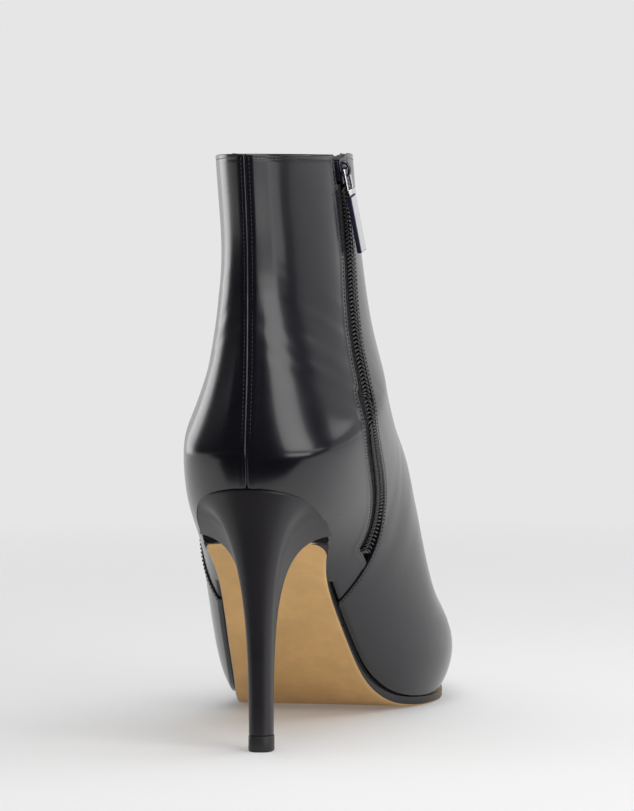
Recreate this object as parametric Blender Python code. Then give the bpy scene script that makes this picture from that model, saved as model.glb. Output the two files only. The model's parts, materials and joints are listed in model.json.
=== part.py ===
"""A left stiletto ankle bootie with a pointed toe and an inside zip.

The shoe stands on its top piece and forefoot. +X is the medial side, +Y the toe and +Z up.
The origin is the middle of the top piece's face on the floor. Sizes are in metres.

The upper follows the last, which is a fan of flat sections. Each section leans about a low
point on the sole or the back seam, and reaches to a high point on the front ridge. Sections are
numbered from 0 at the toe's tip to the collar, and a place on the surface is (section, turn):
turn 0 is the low point, pi the ridge, positive on the medial side and negative on the lateral.
"""

import math

import bmesh
import bpy
import numpy as np
from mathutils import Matrix, Vector

# Driving sizes of the shoe
SHOE_LENGTH = 0.2335
HEEL_HEIGHT = 0.1003
SHAFT_HEIGHT = 0.1225
BALL_WIDTH = 0.080
INSTEP_DEPTH = 0.075
SEAT_OVERHANG = 0.0135

# Upper
WALL = 0.0018
SEAM_STEP = 0.0007
SEAM_SLOPE = 0.0004
ZIP_OPENING = 0.0090
ZIP_END_ABOVE_SOLE = 0.0138
SOLE_CLEARANCE = 0.0004

# Sole, insole and heel
FOREFOOT_SOLE = 0.0037
WAIST_SOLE = 0.0028
SOLE_MARGIN = 0.0021
WAIST_MARGIN = -0.0012
SOLE_EDGE = 0.0008
SOLE_EDGE_PULL = 0.6
INSOLE_THICKNESS = 0.0024
INSOLE_CLEARANCE = 0.0005
INSOLE_TOE_INSET = 0.0030
INSOLE_TOE_REACH = 0.0300
THIN_UP_TO = 0.15
THICK_FROM = 0.50
CLOSE_UP_TO = 0.46
WIDE_FROM = 0.64
BREAST_PLACE = 0.0312
BREAST_HOLLOW = 0.0060
BREAST_GAP = 0.0004
BREAST_REACH = 0.0120
BREAST_HALF_WIDTH = 0.0240
BREAST_MIDDLE = -0.0020
PLATE_HALF_WIDTH = 0.0047
PLATE_BACK = 0.0047
PLATE_FRONT = 0.0056
PLATE_HEIGHT = 0.0060
PLATE_SIDE_POWER = 0.8
PLATE_BREAST_POWER = 0.55
STEM_TAPER = 0.0002

# Zip
TAPE_WIDTH = 0.0200
TAPE_THICKNESS = 0.0008
CHAIN_WIDTH = 0.0058
CHAIN_THICKNESS = 0.0015
CHAIN_START = 0.0036
TAPE_GAP = 0.0007
TAPE_TAIL = 0.8
TAPE_TOP_SHORT = 0.4
SLIDER_WIDTH = 0.0074
SLIDER_LENGTH = 0.0100
SLIDER_THICKNESS = 0.0032
SLIDER_DROP = 0.0058
SLIDER_BEVEL = 0.0007
SMALL_BEVEL = 0.0003
PRONG_BEVEL = 0.0002
UNION_OVERLAP = 0.0005
WINDOW_CLEARANCE = 0.00005
BRIDGE_LENGTH = 0.0066
BRIDGE_HEIGHT = 0.0027
BRIDGE_WIDTH = 0.0020
BRIDGE_BAR = 0.0009
LINK_WIRE = 0.0012
LINK_SPAN = 0.0052
LINK_LENGTH = 0.0098
LINK_GRIP = 0.0026
GRIP_OVERHANG = 0.0003
GRIP_THICKNESS = 0.0021
PULL_LENGTH = 0.0220
PULL_WIDTH = 0.0058
PULL_THICKNESS = 0.0020
PULL_LEAN = math.radians(4)
PART_GAP = 0.0003

# The seat-to-toe line of the sole's upper face: share of SHOE_LENGTH from the seat's back,
# and share of HEEL_HEIGHT above the floor.
SOLE_LINE = (
    (0.000, 1.000),
    (0.060, 0.950),
    (0.120, 0.880),
    (0.190, 0.782),
    (0.250, 0.653),
    (0.315, 0.500),
    (0.380, 0.337),
    (0.445, 0.184),
    (0.510, 0.085),
    (0.580, 0.045),
    (0.660, 0.038),
    (0.760, 0.044),
    (0.880, 0.070),
    (1.000, 0.105),
)

# Sections of the last. along: low point from the seat's back, share of SHOE_LENGTH. rise: its
# height over the seat, share of SHAFT_HEIGHT, or 0 where it lies on the sole line. depth: low
# point to ridge, share of INSTEP_DEPTH. lean: degrees forward from upright. half: half-width,
# widest: its place up the section, feather: share of half at the sole's edge, low and high:
# boxiness below and above, across and swing: sideways place of the low point and the ridge,
# medial positive. half, across and swing are shares of BALL_WIDTH.
SECTION_COLUMNS = (
    "along", "rise", "depth", "lean", "half", "widest", "feather", "low", "high", "across",
    "swing",
)
SECTIONS = {
    "tip": (1.000, 0.0, 0.070, 0, 0.000, 0.50, 0.90, 0.00, 0.00, 0.12, 0.12),
    "nose": (0.974, 0.0, 0.185, -8, 0.110, 0.50, 0.90, 0.02, 0.00, 0.12, 0.125),
    "toe": (0.906, 0.0, 0.320, 2, 0.235, 0.50, 0.91, 0.03, 0.00, 0.12, 0.135),
    "toes": (0.807, 0.0, 0.453, 5, 0.372, 0.50, 0.92, 0.03, 0.00, 0.10, 0.14),
    "joint": (0.700, 0.0, 0.573, 9, 0.487, 0.48, 0.92, 0.03, 0.00, 0.07, 0.15),
    "ball": (0.606, 0.0, 0.716, 16, 0.530, 0.46, 0.88, 0.02, 0.00, 0.03, 0.155),
    "waist": (0.499, 0.0, 0.880, 27, 0.520, 0.45, 0.75, 0.01, 0.00, -0.025, 0.16),
    "arch": (0.379, 0.0, 1.020, 40.7, 0.487, 0.45, 0.645, 0.00, 0.00, -0.06, 0.17),
    "instep": (0.251, 0.0, 1.120, 55, 0.462, 0.44, 0.62, 0.00, 0.00, -0.066, 0.165),
    "seat": (0.122, 0.0, 1.267, 66.4, 0.450, 0.42, 0.69, 0.00, 0.00, -0.040, 0.155),
    "rear": (-0.006, 0.030, 1.480, 70.5, 0.436, 0.41, 0.0, 0.01, 0.00, -0.018, 0.145),
    "counter": (-0.020, 0.125, 1.515, 73.0, 0.405, 0.43, 0.0, 0.00, -0.01, -0.012, 0.15),
    "ankle": (-0.009, 0.300, 1.400, 74.6, 0.330, 0.45, 0.0, -0.01, -0.02, -0.010, 0.165),
    "calf": (0.0107, 0.525, 1.280, 78, 0.285, 0.48, 0.0, -0.03, -0.03, -0.015, 0.16),
    "shaft": (0.0171, 0.760, 1.213, 83.7, 0.278, 0.50, 0.0, -0.05, -0.05, -0.020, 0.135),
    "collar": (0.0128, 1.000, 1.207, 91, 0.282, 0.50, 0.0, -0.05, -0.05, -0.030, 0.11),
}
LAST_SECTION = len(SECTIONS) - 1

# The side seam, which is also the front edge of the zip: section, and turn as a share of pi.
SIDE_SEAM = (
    (15.0, 0.500),
    (14.0, 0.530),
    (13.0, 0.535),
    (12.0, 0.522),
    (11.0, 0.508),
    (10.0, 0.502),
    (9.0, 0.497),
    (8.2, 0.432),
    (7.75, 0.330),
    (7.45, 0.195),
)

# The heel's outer face, by turn round its outline: where the curve from top piece to seat bends.
# climb: height of each handle as a share of the rise, spread: sideways place of the upper handle
# as a share of the way out to the rim.
HEEL_HANDLES = {
    "back": {"climb": (0.50, 0.80), "spread": 0.30},
    "side": {"climb": (0.80, 1.000), "spread": 0.22},
    "breast": {"climb": (0.70, 0.960), "spread": 0.10},
}

# Shares of the heel's columns at which the seat's two corners stand.
RIM_CORNERS = (0.335, 0.665)
# The heel's back and breast: cosine of the turn at which each starts, and how fast it takes over.
BACK_START = 0.10
BACK_SPAN = 0.90
BREAST_START = 0.35
BREAST_SPAN = 0.50
SEAT_RINGS = (0.66, 0.33)

# Mesh densities and the distance at which corners that meet are joined
WELD_DISTANCE = 1e-6
ROWS = 30
QUARTER_COLUMNS = 8
FRONT_COLUMNS = 16
TOE_GRADE = 1.4
SOLE_ROWS = 34
SOLE_COLUMNS = 8
INSOLE_COLUMNS = 4
HEEL_COLUMNS = 44
HEEL_ROWS = 16
ZIP_ROWS = 24
TAPE_COLUMNS = 6

FINISHES = {
    "upper_leather": ((0.028, 0.028, 0.031), 0.38, 0.0),
    "heel_leather": ((0.040, 0.038, 0.041), 0.45, 0.0),
    "sole_leather": ((0.56, 0.36, 0.20), 0.55, 0.0),
    "lining": ((0.030, 0.029, 0.029), 0.7, 0.0),
    "rubber": ((0.020, 0.020, 0.021), 0.6, 0.0),
    "zip_fabric": ((0.012, 0.012, 0.013), 0.8, 0.0),
    "zip_coil": ((0.015, 0.015, 0.016), 0.4, 0.0),
    "metal": ((0.72, 0.72, 0.73), 0.22, 1.0),
}


def spline(knots, values, flat_start=False):
    """A natural cubic through rows of values, or one whose slope is zero at its first knot."""
    x = np.asarray(knots, float)
    y = np.asarray(values, float)
    count = len(x)
    step = np.diff(x)
    matrix = np.zeros((count, count))
    right = np.zeros_like(y)
    for i in range(1, count - 1):
        matrix[i, i - 1] = step[i - 1]
        matrix[i, i] = 2 * (step[i - 1] + step[i])
        matrix[i, i + 1] = step[i]
        right[i] = 6 * ((y[i + 1] - y[i]) / step[i] - (y[i] - y[i - 1]) / step[i - 1])
    matrix[-1, -1] = 1
    matrix[0, 0] = 1
    if flat_start:
        matrix[0, :2] = (2 * step[0], step[0])
        right[0] = 6 * (y[1] - y[0]) / step[0]
    bend = np.linalg.solve(matrix, right)

    def at(place):
        t = np.asarray(place, float)
        i = np.clip(np.searchsorted(x, t) - 1, 0, count - 2)
        wide = t.shape + (1,) * (y.ndim - 1)
        a = (x[i + 1] - t).reshape(wide)
        b = (t - x[i]).reshape(wide)
        h = step[i].reshape(wide)
        curve = (bend[i] * a**3 + bend[i + 1] * b**3) / (6 * h)
        return curve + (y[i] / h - bend[i] * h / 6) * a + (y[i + 1] / h - bend[i + 1] * h / 6) * b

    return at


def share_of_width(turn, low, high):
    """Half-width at a turn round the section, as a share of the section's own half-width."""
    boxy = low + (high - low) * (1 - np.cos(turn)) / 2
    return (np.sin(turn) + boxy * np.sin(3 * turn)) / (1 - (low + high) / 2)


def share_of_depth(turn, widest):
    """Way from low point to ridge at a turn, 0 to 1, with the widest place where it is asked."""
    return (0.5 + widest) / 2 - np.cos(turn) / 2 + (0.5 - widest) / 2 * np.cos(2 * turn)


SOLE_PLACES = [share * SHOE_LENGTH - SEAT_OVERHANG for share, _ in SOLE_LINE]
SOLE_HEIGHTS = [share * HEEL_HEIGHT for _, share in SOLE_LINE]
sole_height = spline(SOLE_PLACES, SOLE_HEIGHTS)


def section_splines():
    """Splines through the table: the sections' two end points, and their other values."""
    table = np.array(list(SECTIONS.values()))
    column = {name: table[:, i] for i, name in enumerate(SECTION_COLUMNS)}
    low_y = column["along"] * SHOE_LENGTH - SEAT_OVERHANG
    on_shaft = HEEL_HEIGHT + column["rise"] * SHAFT_HEIGHT
    low_z = np.where(column["rise"] > 0, on_shaft, sole_height(low_y))
    lean = np.radians(column["lean"])
    depth = column["depth"] * INSTEP_DEPTH
    low = np.stack([column["across"] * BALL_WIDTH, low_y, low_z], 1)
    ridge_y = low_y + depth * np.sin(lean)
    ridge_z = low_z + depth * np.cos(lean)
    ridge = np.stack([column["swing"] * BALL_WIDTH, ridge_y, ridge_z], 1)
    turns = np.linspace(0, math.pi / 2, 1500)
    for i, share in enumerate(column["feather"]):
        if share > 0:
            widths = share_of_width(turns, column["low"][i], column["high"][i])
            turn = turns[np.argmax(widths >= share)]
            under = share_of_depth(turn, column["widest"][i])
            low[i] -= under / (1 - under) * (ridge[i] - low[i])
    knots = np.arange(len(table), dtype=float)
    along = spline(knots, np.stack([low[:, 1], ridge[:, 1]], 1), flat_start=True)
    others = [low[:, 0], low[:, 2], ridge[:, 0], ridge[:, 2], column["half"] * BALL_WIDTH]
    others += [column["widest"], column["low"], column["high"]]
    return along, spline(knots, np.stack(others, 1))


along_spline, other_spline = section_splines()


def surface(section, turn):
    """Points of the last's surface, in metres."""
    section = np.asarray(section, float)
    turn = np.asarray(turn, float)
    y = along_spline(section)
    o = other_spline(section)
    low = np.stack([o[..., 0], y[..., 0], o[..., 1]], -1)
    ridge = np.stack([o[..., 2], y[..., 1], o[..., 3]], -1)
    point = low + share_of_depth(turn, o[..., 5])[..., None] * (ridge - low)
    point[..., 0] += o[..., 4] * share_of_width(turn, o[..., 6], o[..., 7])
    return point


def slopes(section, turn):
    """The surface's two slopes: along the sections and round them."""
    section = np.clip(np.asarray(section, float), 0.03, LAST_SECTION - 0.01)
    turn = np.asarray(turn, float)
    tiny = 1e-3
    along = (surface(section + tiny, turn) - surface(section - tiny, turn)) / (2 * tiny)
    around = (surface(section, turn + tiny) - surface(section, turn - tiny)) / (2 * tiny)
    return along, around


def normals(section, turn):
    """Unit normals of the surface, pointing out of the shoe."""
    along, around = slopes(section, turn)
    across = np.cross(around, along)
    return across / np.linalg.norm(across, axis=-1, keepdims=True)


def shell_point(section, turn, offset):
    return surface(section, turn) + np.asarray(offset)[..., None] * normals(section, turn)


def feather_turn(section):
    """Turn at which a section crosses the sole's upper face, or 0 where it's above the seat."""
    turns = np.linspace(0, 0.75 * math.pi, 500)
    found = []
    for value in np.atleast_1d(section):
        points = surface(np.full(turns.shape, value), turns)
        above = points[:, 2] - sole_height(points[:, 1])
        if above[0] >= 0:
            found.append(0.0)
            continue
        i = int(np.argmax(above > 0))
        part = -above[i - 1] / (above[i] - above[i - 1])
        found.append(turns[i - 1] + part * (turns[i] - turns[i - 1]))
    return np.array(found)


def seat_section():
    """The section at which the two feather edges meet, at the seat's back."""
    below = 8.0
    above = 11.0
    for _ in range(40):
        middle = (below + above) / 2
        if feather_turn(middle)[0] > 0:
            below = middle
        else:
            above = middle
    return above


SEAT_END = seat_section()


def even_path(places, count, grade=1.0):
    """A path of (section, turn) rows, re-spaced along the surface into count rows.

    A grade over 1 packs the rows closer at the start.
    """
    places = np.asarray(places, float)
    points = surface(places[:, 0], places[:, 1])
    steps = np.linalg.norm(np.diff(points, axis=0), axis=1)
    run = np.concatenate([[0], np.cumsum(steps)])
    at = run[-1] * np.linspace(0, 1, count) ** grade
    return np.stack([np.interp(at, run, places[:, i]) for i in range(2)], 1)


def feather_path(first, last, count=240):
    """The feather edge from one section to another, packed close where it turns fast."""
    share = np.linspace(0, 1, count)
    share = np.where(last == SEAT_END, 1 - (1 - share) ** 2, share)
    share = np.where(first == SEAT_END, share**2, share)
    sections = first + (last - first) * share
    turns = feather_turn(sections)
    turns = np.where(sections == SEAT_END, 0.0, turns)
    return np.stack([sections, turns], 1)


def seam_path(count=160):
    """The side seam from the sole up to the collar."""
    knots = np.arange(len(SIDE_SEAM))
    curve = spline(knots, np.array([(s, t * math.pi) for s, t in SIDE_SEAM]))
    path = curve(np.linspace(0, len(SIDE_SEAM) - 1, count))[::-1]
    above = path[:, 1] > feather_turn(path[:, 0]) + 1e-3
    return path[int(np.argmax(above)):]


def beside(path, distance):
    """A path at a distance from another across the surface, towards the heel if positive."""
    along, around = slopes(path[:, 0], path[:, 1])
    points = surface(path[:, 0], path[:, 1])
    run = np.gradient(points, axis=0)
    run /= np.linalg.norm(run, axis=1, keepdims=True)
    out = normals(path[:, 0], path[:, 1])
    aside = np.cross(out, run)
    moved = []
    for place, ds, dt, way in zip(path, along, around, aside):
        basis = np.stack([ds, dt], 1)
        change = np.linalg.lstsq(basis, way * distance, rcond=None)[0]
        moved.append(place + change)
    return np.array(moved)


def drop_to_feather(path):
    """The path with its lower end carried on, or cut, to end on the feather edge."""
    low = path[0] + (path[0] - path[2]) * np.linspace(3, 0, 40, endpoint=False)[:, None]
    path = np.concatenate([low, path])
    turns = feather_turn(path[:, 0])
    above = path[:, 1] > turns
    first = int(np.argmax(above))
    gap_before = path[first - 1, 1] - turns[first - 1]
    gap_after = path[first, 1] - turns[first]
    share = -gap_before / (gap_after - gap_before)
    foot = path[first - 1] + share * (path[first] - path[first - 1])
    foot[1] = feather_turn(foot[0])[0]
    top = path[-1].copy()
    top[0] = LAST_SECTION
    return np.concatenate([[foot], path[first:-1], [top]])


FRONT_SEAM = drop_to_feather(seam_path())
QUARTER_EDGE = drop_to_feather(beside(FRONT_SEAM, ZIP_OPENING))


def patch(left, right, bottom, top):
    """Rows of (section, turn) inside four paths, by blending opposite sides."""
    rows = len(left)
    columns = len(bottom)
    u = np.linspace(0, 1, columns)[None, :, None]
    v = np.linspace(0, 1, rows)[:, None, None]
    grid = (1 - u) * left[:, None] + u * right[:, None]
    grid = grid + (1 - v) * bottom[None] + v * top[None]
    corners = (1 - u) * (1 - v) * bottom[0] + u * (1 - v) * bottom[-1]
    corners = corners + (1 - u) * v * top[0] + u * v * top[-1]
    return grid - corners


def collar_path(first_turn, last_turn, count):
    places = [(LAST_SECTION, turn) for turn in np.linspace(first_turn, last_turn, 60)]
    return even_path(places, count)


def upper_grid():
    """Rows by columns of (section, turn, offset) on one side, from back seam to ridge."""
    rows = ROWS + 1
    seam = even_path(FRONT_SEAM, rows)
    edge = even_path(QUARTER_EDGE, rows)
    back = even_path([(s, 0) for s in np.linspace(SEAT_END, LAST_SECTION, 120)], rows)
    heel_side = even_path(feather_path(SEAT_END, edge[0, 0]), QUARTER_COLUMNS + 1)
    collar_back = collar_path(0, edge[-1, 1], QUARTER_COLUMNS + 1)
    quarter = patch(back, edge, heel_side, collar_back)
    tip_turn = feather_turn(0.0)[0]
    nose = [(0, t) for t in np.linspace(tip_turn, math.pi, 20, endpoint=False)]
    ridge_line = [(s, math.pi) for s in np.linspace(0, LAST_SECTION, 200)]
    ridge = even_path(nose + ridge_line, rows, TOE_GRADE)
    toe_side = even_path(feather_path(seam[0, 0], 0.0), FRONT_COLUMNS + 1)
    collar_front = collar_path(seam[-1, 1], math.pi, FRONT_COLUMNS + 1)
    front = patch(seam, ridge, toe_side, collar_front)
    lip = beside(seam, -SEAM_SLOPE)
    lip[0, 1] = feather_turn(lip[0, 0])[0]
    lip[-1, 0] = LAST_SECTION
    places = np.concatenate([quarter, seam[:, None], lip[:, None], front[:, 1:]], 1)
    offsets = np.zeros(places.shape[:2])
    offsets[:, QUARTER_COLUMNS + 2:] = SEAM_STEP
    return places, offsets


def zip_end_row(places):
    """The grid row at which the zip's opening ends, counted up from the sole."""
    edge = surface(places[:, QUARTER_COLUMNS, 0], places[:, QUARTER_COLUMNS, 1])
    height = edge[:, 2] - edge[0, 2]
    return int(np.argmax(height >= ZIP_END_ABOVE_SOLE))


def material(name):
    found = bpy.data.materials.get(name)
    if found:
        return found
    colour, roughness, metallic = FINISHES[name]
    made = bpy.data.materials.new(name)
    made.use_nodes = True
    shader = made.node_tree.nodes["Principled BSDF"]
    shader.inputs["Base Color"].default_value = (*colour, 1)
    shader.inputs["Roughness"].default_value = roughness
    shader.inputs["Metallic"].default_value = metallic
    return made


def add_object(name, shape, finish):
    """Finishes a bmesh as a named object with its material."""
    bmesh.ops.recalc_face_normals(shape, faces=shape.faces)
    if shape.calc_volume(signed=True) < 0:
        bmesh.ops.reverse_faces(shape, faces=shape.faces)
    mesh = bpy.data.meshes.new(name)
    shape.to_mesh(mesh)
    shape.free()
    mesh.shade_smooth()
    mesh.set_sharp_from_angle(angle=math.radians(35))
    mesh.materials.append(material(finish))
    made = bpy.data.objects.new(name, mesh)
    bpy.context.scene.collection.objects.link(made)
    return made


def weld(shape):
    bmesh.ops.remove_doubles(shape, verts=shape.verts, dist=WELD_DISTANCE)
    bmesh.ops.dissolve_degenerate(shape, dist=WELD_DISTANCE, edges=shape.edges)


def join_sheets(shape, outer, inner, keep):
    """Faces of two matching sheets, and the rim between them round every open edge."""
    rims = {}
    for i in range(len(outer) - 1):
        for j in range(len(outer[0]) - 1):
            if not keep(i, j):
                continue
            front = (outer[i][j], outer[i][j + 1], outer[i + 1][j + 1], outer[i + 1][j])
            behind = (inner[i][j], inner[i][j + 1], inner[i + 1][j + 1], inner[i + 1][j])
            shape.faces.new(front)
            shape.faces.new(behind[::-1])
            for k in range(4):
                a = front[k]
                b = front[(k + 1) % 4]
                if (b, a) in rims:
                    del rims[(b, a)]
                else:
                    rims[(a, b)] = (behind[k], behind[(k + 1) % 4])
    for (a, b), (c, d) in rims.items():
        shape.faces.new((b, a, c, d))


def build_upper():
    places, offsets = upper_grid()
    zip_row = zip_end_row(places)
    section = places[..., 0]
    turn = places[..., 1]
    sheets = []
    for offset in (offsets, np.full(section.shape, -WALL)):
        halves = []
        for side in (-1, 1):
            points = shell_point(section, side * turn, offset)
            points[..., 2] = np.maximum(points[..., 2], sole_height(points[..., 1]))
            points[0, :, 2] = sole_height(points[0, :, 1])
            halves.append(points)
        # One ring a row: from the ridge down the lateral side, then up the medial side.
        sheets.append(np.concatenate([halves[0][:, ::-1], halves[1][:, 1:-1]], 1))
    shape = bmesh.new()
    outer, inner = [[[shape.verts.new(p) for p in row] for row in sheet] for sheet in sheets]
    for row in outer + inner:
        row.append(row[0])
    slot = section.shape[1] - 1 + QUARTER_COLUMNS
    join_sheets(shape, outer, inner, lambda i, j: j != slot or i < zip_row)
    return add_object("upper", shape, "upper_leather")


def outline(first_place, margin, count):
    """Medial and lateral edges of a flat piece under the upper, from a place to the toe's tip.

    margin is a function of the place along the shoe: how far the edge lies outside the feather.
    """
    sections = np.linspace(0, SEAT_END, 500)
    path = np.stack([sections, feather_turn(sections)], 1)
    medial = surface(path[:, 0], path[:, 1])
    lateral = surface(path[:, 0], -path[:, 1])
    ring = np.concatenate([lateral[::-1], medial[1:]])[:, :2]
    way = np.gradient(ring, axis=0)
    way /= np.linalg.norm(way, axis=1, keepdims=True)
    out = np.stack([-way[:, 1], way[:, 0]], 1)
    ring = ring + out * margin(ring[:, 1])[:, None]
    middle = len(lateral) - 1
    sides = []
    for side in (ring[middle:], ring[middle::-1]):
        side = side[side[:, 1] >= first_place - 1e-6]
        run = np.concatenate([[0], np.cumsum(np.linalg.norm(np.diff(side, axis=0), axis=1))])
        at = run[-1] * np.linspace(1, 0, count)
        sides.append(np.stack([np.interp(at, run, side[:, 0]), np.interp(at, run, side[:, 1])], 1))
    return sides


def breast_line(x):
    """Place along the shoe of the heel's breast, hollow in the middle."""
    side = np.clip((x - BREAST_MIDDLE) / BREAST_HALF_WIDTH, -1, 1)
    return BREAST_PLACE - BREAST_HOLLOW * np.cos(side * math.pi / 2) ** 2


def ease(value):
    value = np.clip(value, 0, 1)
    return value * value * (3 - 2 * value)


def plate(name, sides, top, thickness, edge, columns, finish, curved_end=None):
    """A flat piece between two edges, whose upper face is at top(y), with rounded lower edges."""
    medial, lateral = sides
    across = np.concatenate([[0], np.linspace(0, 1, columns + 1), [1]])
    points = lateral[:, None] + (medial - lateral)[:, None] * across[None, :, None]
    if curved_end:
        fade = 1 - ease((points[..., 1] - points[0, :, 1][None]) / BREAST_REACH)
        points[..., 1] += (curved_end(points[..., 0]) - points[0, :, 1][None]) * fade
    upper = np.concatenate([points, top(points[..., 1])[..., None]], 2)
    lower = upper.copy()
    lower[..., 2] -= thickness(points[..., 1])
    middle = (lower[:, :1, :2] + lower[:, -1:, :2]) / 2
    width = np.maximum(np.linalg.norm(medial - lateral, axis=1), 1e-6)
    pull = np.minimum(edge / width * 2, SOLE_EDGE_PULL)[:, None, None]
    lower[:, 1:-1, :2] += (middle - lower[:, 1:-1, :2]) * pull
    lower[:, 0, 2] += edge
    lower[:, -1, 2] += edge
    shape = bmesh.new()
    upper_verts = [[shape.verts.new(p) for p in row[1:-1]] for row in upper]
    lower_verts = [[shape.verts.new(p) for p in row] for row in lower]
    rows = len(upper_verts)
    for i in range(rows - 1):
        a, b = upper_verts[i], upper_verts[i + 1]
        for j in range(len(a) - 1):
            shape.faces.new((a[j], a[j + 1], b[j + 1], b[j]))
        c, d = lower_verts[i], lower_verts[i + 1]
        for j in range(len(c) - 1):
            shape.faces.new((c[j + 1], c[j], d[j], d[j + 1]))
        shape.faces.new((a[0], b[0], d[0], c[0]))
        shape.faces.new((b[-1], a[-1], c[-1], d[-1]))
    for i in (0, rows - 1):
        shape.faces.new(upper_verts[i] + lower_verts[i][::-1])
    weld(shape)
    bmesh.ops.triangulate(shape, faces=shape.faces)
    return add_object(name, shape, finish)


def flat_tread(y):
    """Underside of the outsole: flat on the floor under the ball, and sprung up at the toe."""
    return np.maximum(sole_height(y) - SOLE_CLEARANCE - sole_thickness(y), 0)


def sole_thickness(y):
    """Thin at the waist, full at the forefoot."""
    share = ease((y / SHOE_LENGTH - THIN_UP_TO) / (THICK_FROM - THIN_UP_TO))
    return WAIST_SOLE + (FOREFOOT_SOLE - WAIST_SOLE) * share


def sole_margin(y):
    """How far the sole's edge shows outside the upper: hardly at the waist, more in front."""
    share = ease((y / SHOE_LENGTH - CLOSE_UP_TO) / (WIDE_FROM - CLOSE_UP_TO))
    return WAIST_MARGIN + (SOLE_MARGIN - WAIST_MARGIN) * share


def build_outsole():
    def top(y):
        return sole_height(y) - SOLE_CLEARANCE

    def thickness(y):
        return top(y) - flat_tread(y)

    sides = outline(BREAST_PLACE + BREAST_GAP, sole_margin, SOLE_ROWS)
    return plate("outsole", sides, top, thickness, SOLE_EDGE, SOLE_COLUMNS, "sole_leather",
                 lambda x: breast_line(x) + BREAST_GAP)


def build_insole():
    inset = WALL + INSOLE_CLEARANCE

    def top(y):
        return sole_height(y) + INSOLE_THICKNESS

    def margin(y):
        toe = SHOE_LENGTH - SEAT_OVERHANG
        return -inset - INSOLE_TOE_INSET * ease(1 - (toe - y) / INSOLE_TOE_REACH)

    sides = outline(-SEAT_OVERHANG, margin, SOLE_ROWS)
    return plate("insole", sides, top, lambda y: np.full(np.shape(y), INSOLE_THICKNESS),
                 INSOLE_THICKNESS / 4, INSOLE_COLUMNS, "lining")


def top_piece_outline(turn):
    """The D of the heel's end: round at the back, flatter at the breast."""
    x = PLATE_HALF_WIDTH * np.sign(np.sin(turn)) * np.abs(np.sin(turn)) ** PLATE_SIDE_POWER
    y = np.where(np.cos(turn) > 0, -PLATE_BACK * np.cos(turn),
                 PLATE_FRONT * np.abs(np.cos(turn)) ** PLATE_BREAST_POWER)
    return np.stack([x, y], -1)


def heel_rim(count):
    """The heel's upper edge: the seat from the back round one side, and the breast between."""
    sections = np.linspace(0, SEAT_END, 900)
    turns = feather_turn(sections)
    rims = []
    for side in (1, -1):
        points = surface(sections, side * turns)[:, :2]
        points = points[points[:, 1] <= BREAST_PLACE]
        rims.append(points[::-1])
    medial, lateral = rims
    line = np.linspace(medial[-1, 0], lateral[-1, 0], 60)
    breast = np.stack([line, breast_line(line)], 1)
    ring = np.concatenate([medial, breast[1:-1], lateral[::-1]])
    run = np.concatenate([[0], np.cumsum(np.linalg.norm(np.diff(ring, axis=0), axis=1))])
    corners = (run[len(medial) - 1], run[len(medial) + len(line) - 3])
    shares = (0, *RIM_CORNERS, 1)
    at = np.interp(np.linspace(0, 1, count, endpoint=False), shares, (0, *corners, run[-1]))
    return np.stack([np.interp(at, run, ring[:, 0]), np.interp(at, run, ring[:, 1])], 1)


def heel_points(columns, rows):
    """Rows by columns of points on the heel's outer face, from its end up to the seat."""
    turn = np.linspace(0, 2 * math.pi, columns, endpoint=False)
    foot = top_piece_outline(turn)
    foot = foot * (1 - STEM_TAPER / PLATE_HALF_WIDTH)
    start = np.concatenate([foot, np.full((columns, 1), PLATE_HEIGHT + PART_GAP)], 1)
    rim = heel_rim(columns)
    seat = sole_height(rim[:, 1]) - SOLE_CLEARANCE
    end = np.concatenate([rim, seat[:, None]], 1)
    back = ease((np.cos(turn) - BACK_START) / BACK_SPAN)
    breast = ease((-np.cos(turn) - BREAST_START) / BREAST_SPAN)
    side = 1 - back - breast

    def blend(read):
        shares = ((back, "back"), (side, "side"), (breast, "breast"))
        return sum(weight * read(HEEL_HANDLES[name]) for weight, name in shares)

    rise = end[:, 2] - start[:, 2]
    low_climb = blend(lambda handle: handle["climb"][0])
    high_climb = blend(lambda handle: handle["climb"][1])
    spread = blend(lambda handle: handle["spread"])
    low_handle = start.copy()
    low_handle[:, 2] += low_climb * rise
    high_handle = start + (end - start) * spread[:, None]
    high_handle[:, 2] = start[:, 2] + high_climb * rise
    t = np.linspace(0, 1, rows)[:, None, None]
    curve = (1 - t) ** 3 * start + 3 * (1 - t) ** 2 * t * low_handle
    return curve + 3 * (1 - t) * t**2 * high_handle + t**3 * end


def build_heel():
    points = heel_points(HEEL_COLUMNS, HEEL_ROWS)
    shape = bmesh.new()
    rings = [[shape.verts.new(p) for p in row] for row in points]
    centre = points[-1].mean(axis=0)
    for share in SEAT_RINGS:
        ring = centre + (points[-1] - centre) * share
        ring[:, 2] = sole_height(ring[:, 1]) - SOLE_CLEARANCE
        rings.append([shape.verts.new(p) for p in ring])
    for a, b in zip(rings, rings[1:]):
        for j in range(HEEL_COLUMNS):
            k = (j + 1) % HEEL_COLUMNS
            shape.faces.new((a[j], a[k], b[k], b[j]))
    shape.faces.new(rings[0])
    centre[2] = sole_height(centre[1]) - SOLE_CLEARANCE
    hub = shape.verts.new(centre)
    for j in range(HEEL_COLUMNS):
        shape.faces.new((rings[-1][j], rings[-1][(j + 1) % HEEL_COLUMNS], hub))
    return add_object("heel", shape, "heel_leather")


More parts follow.
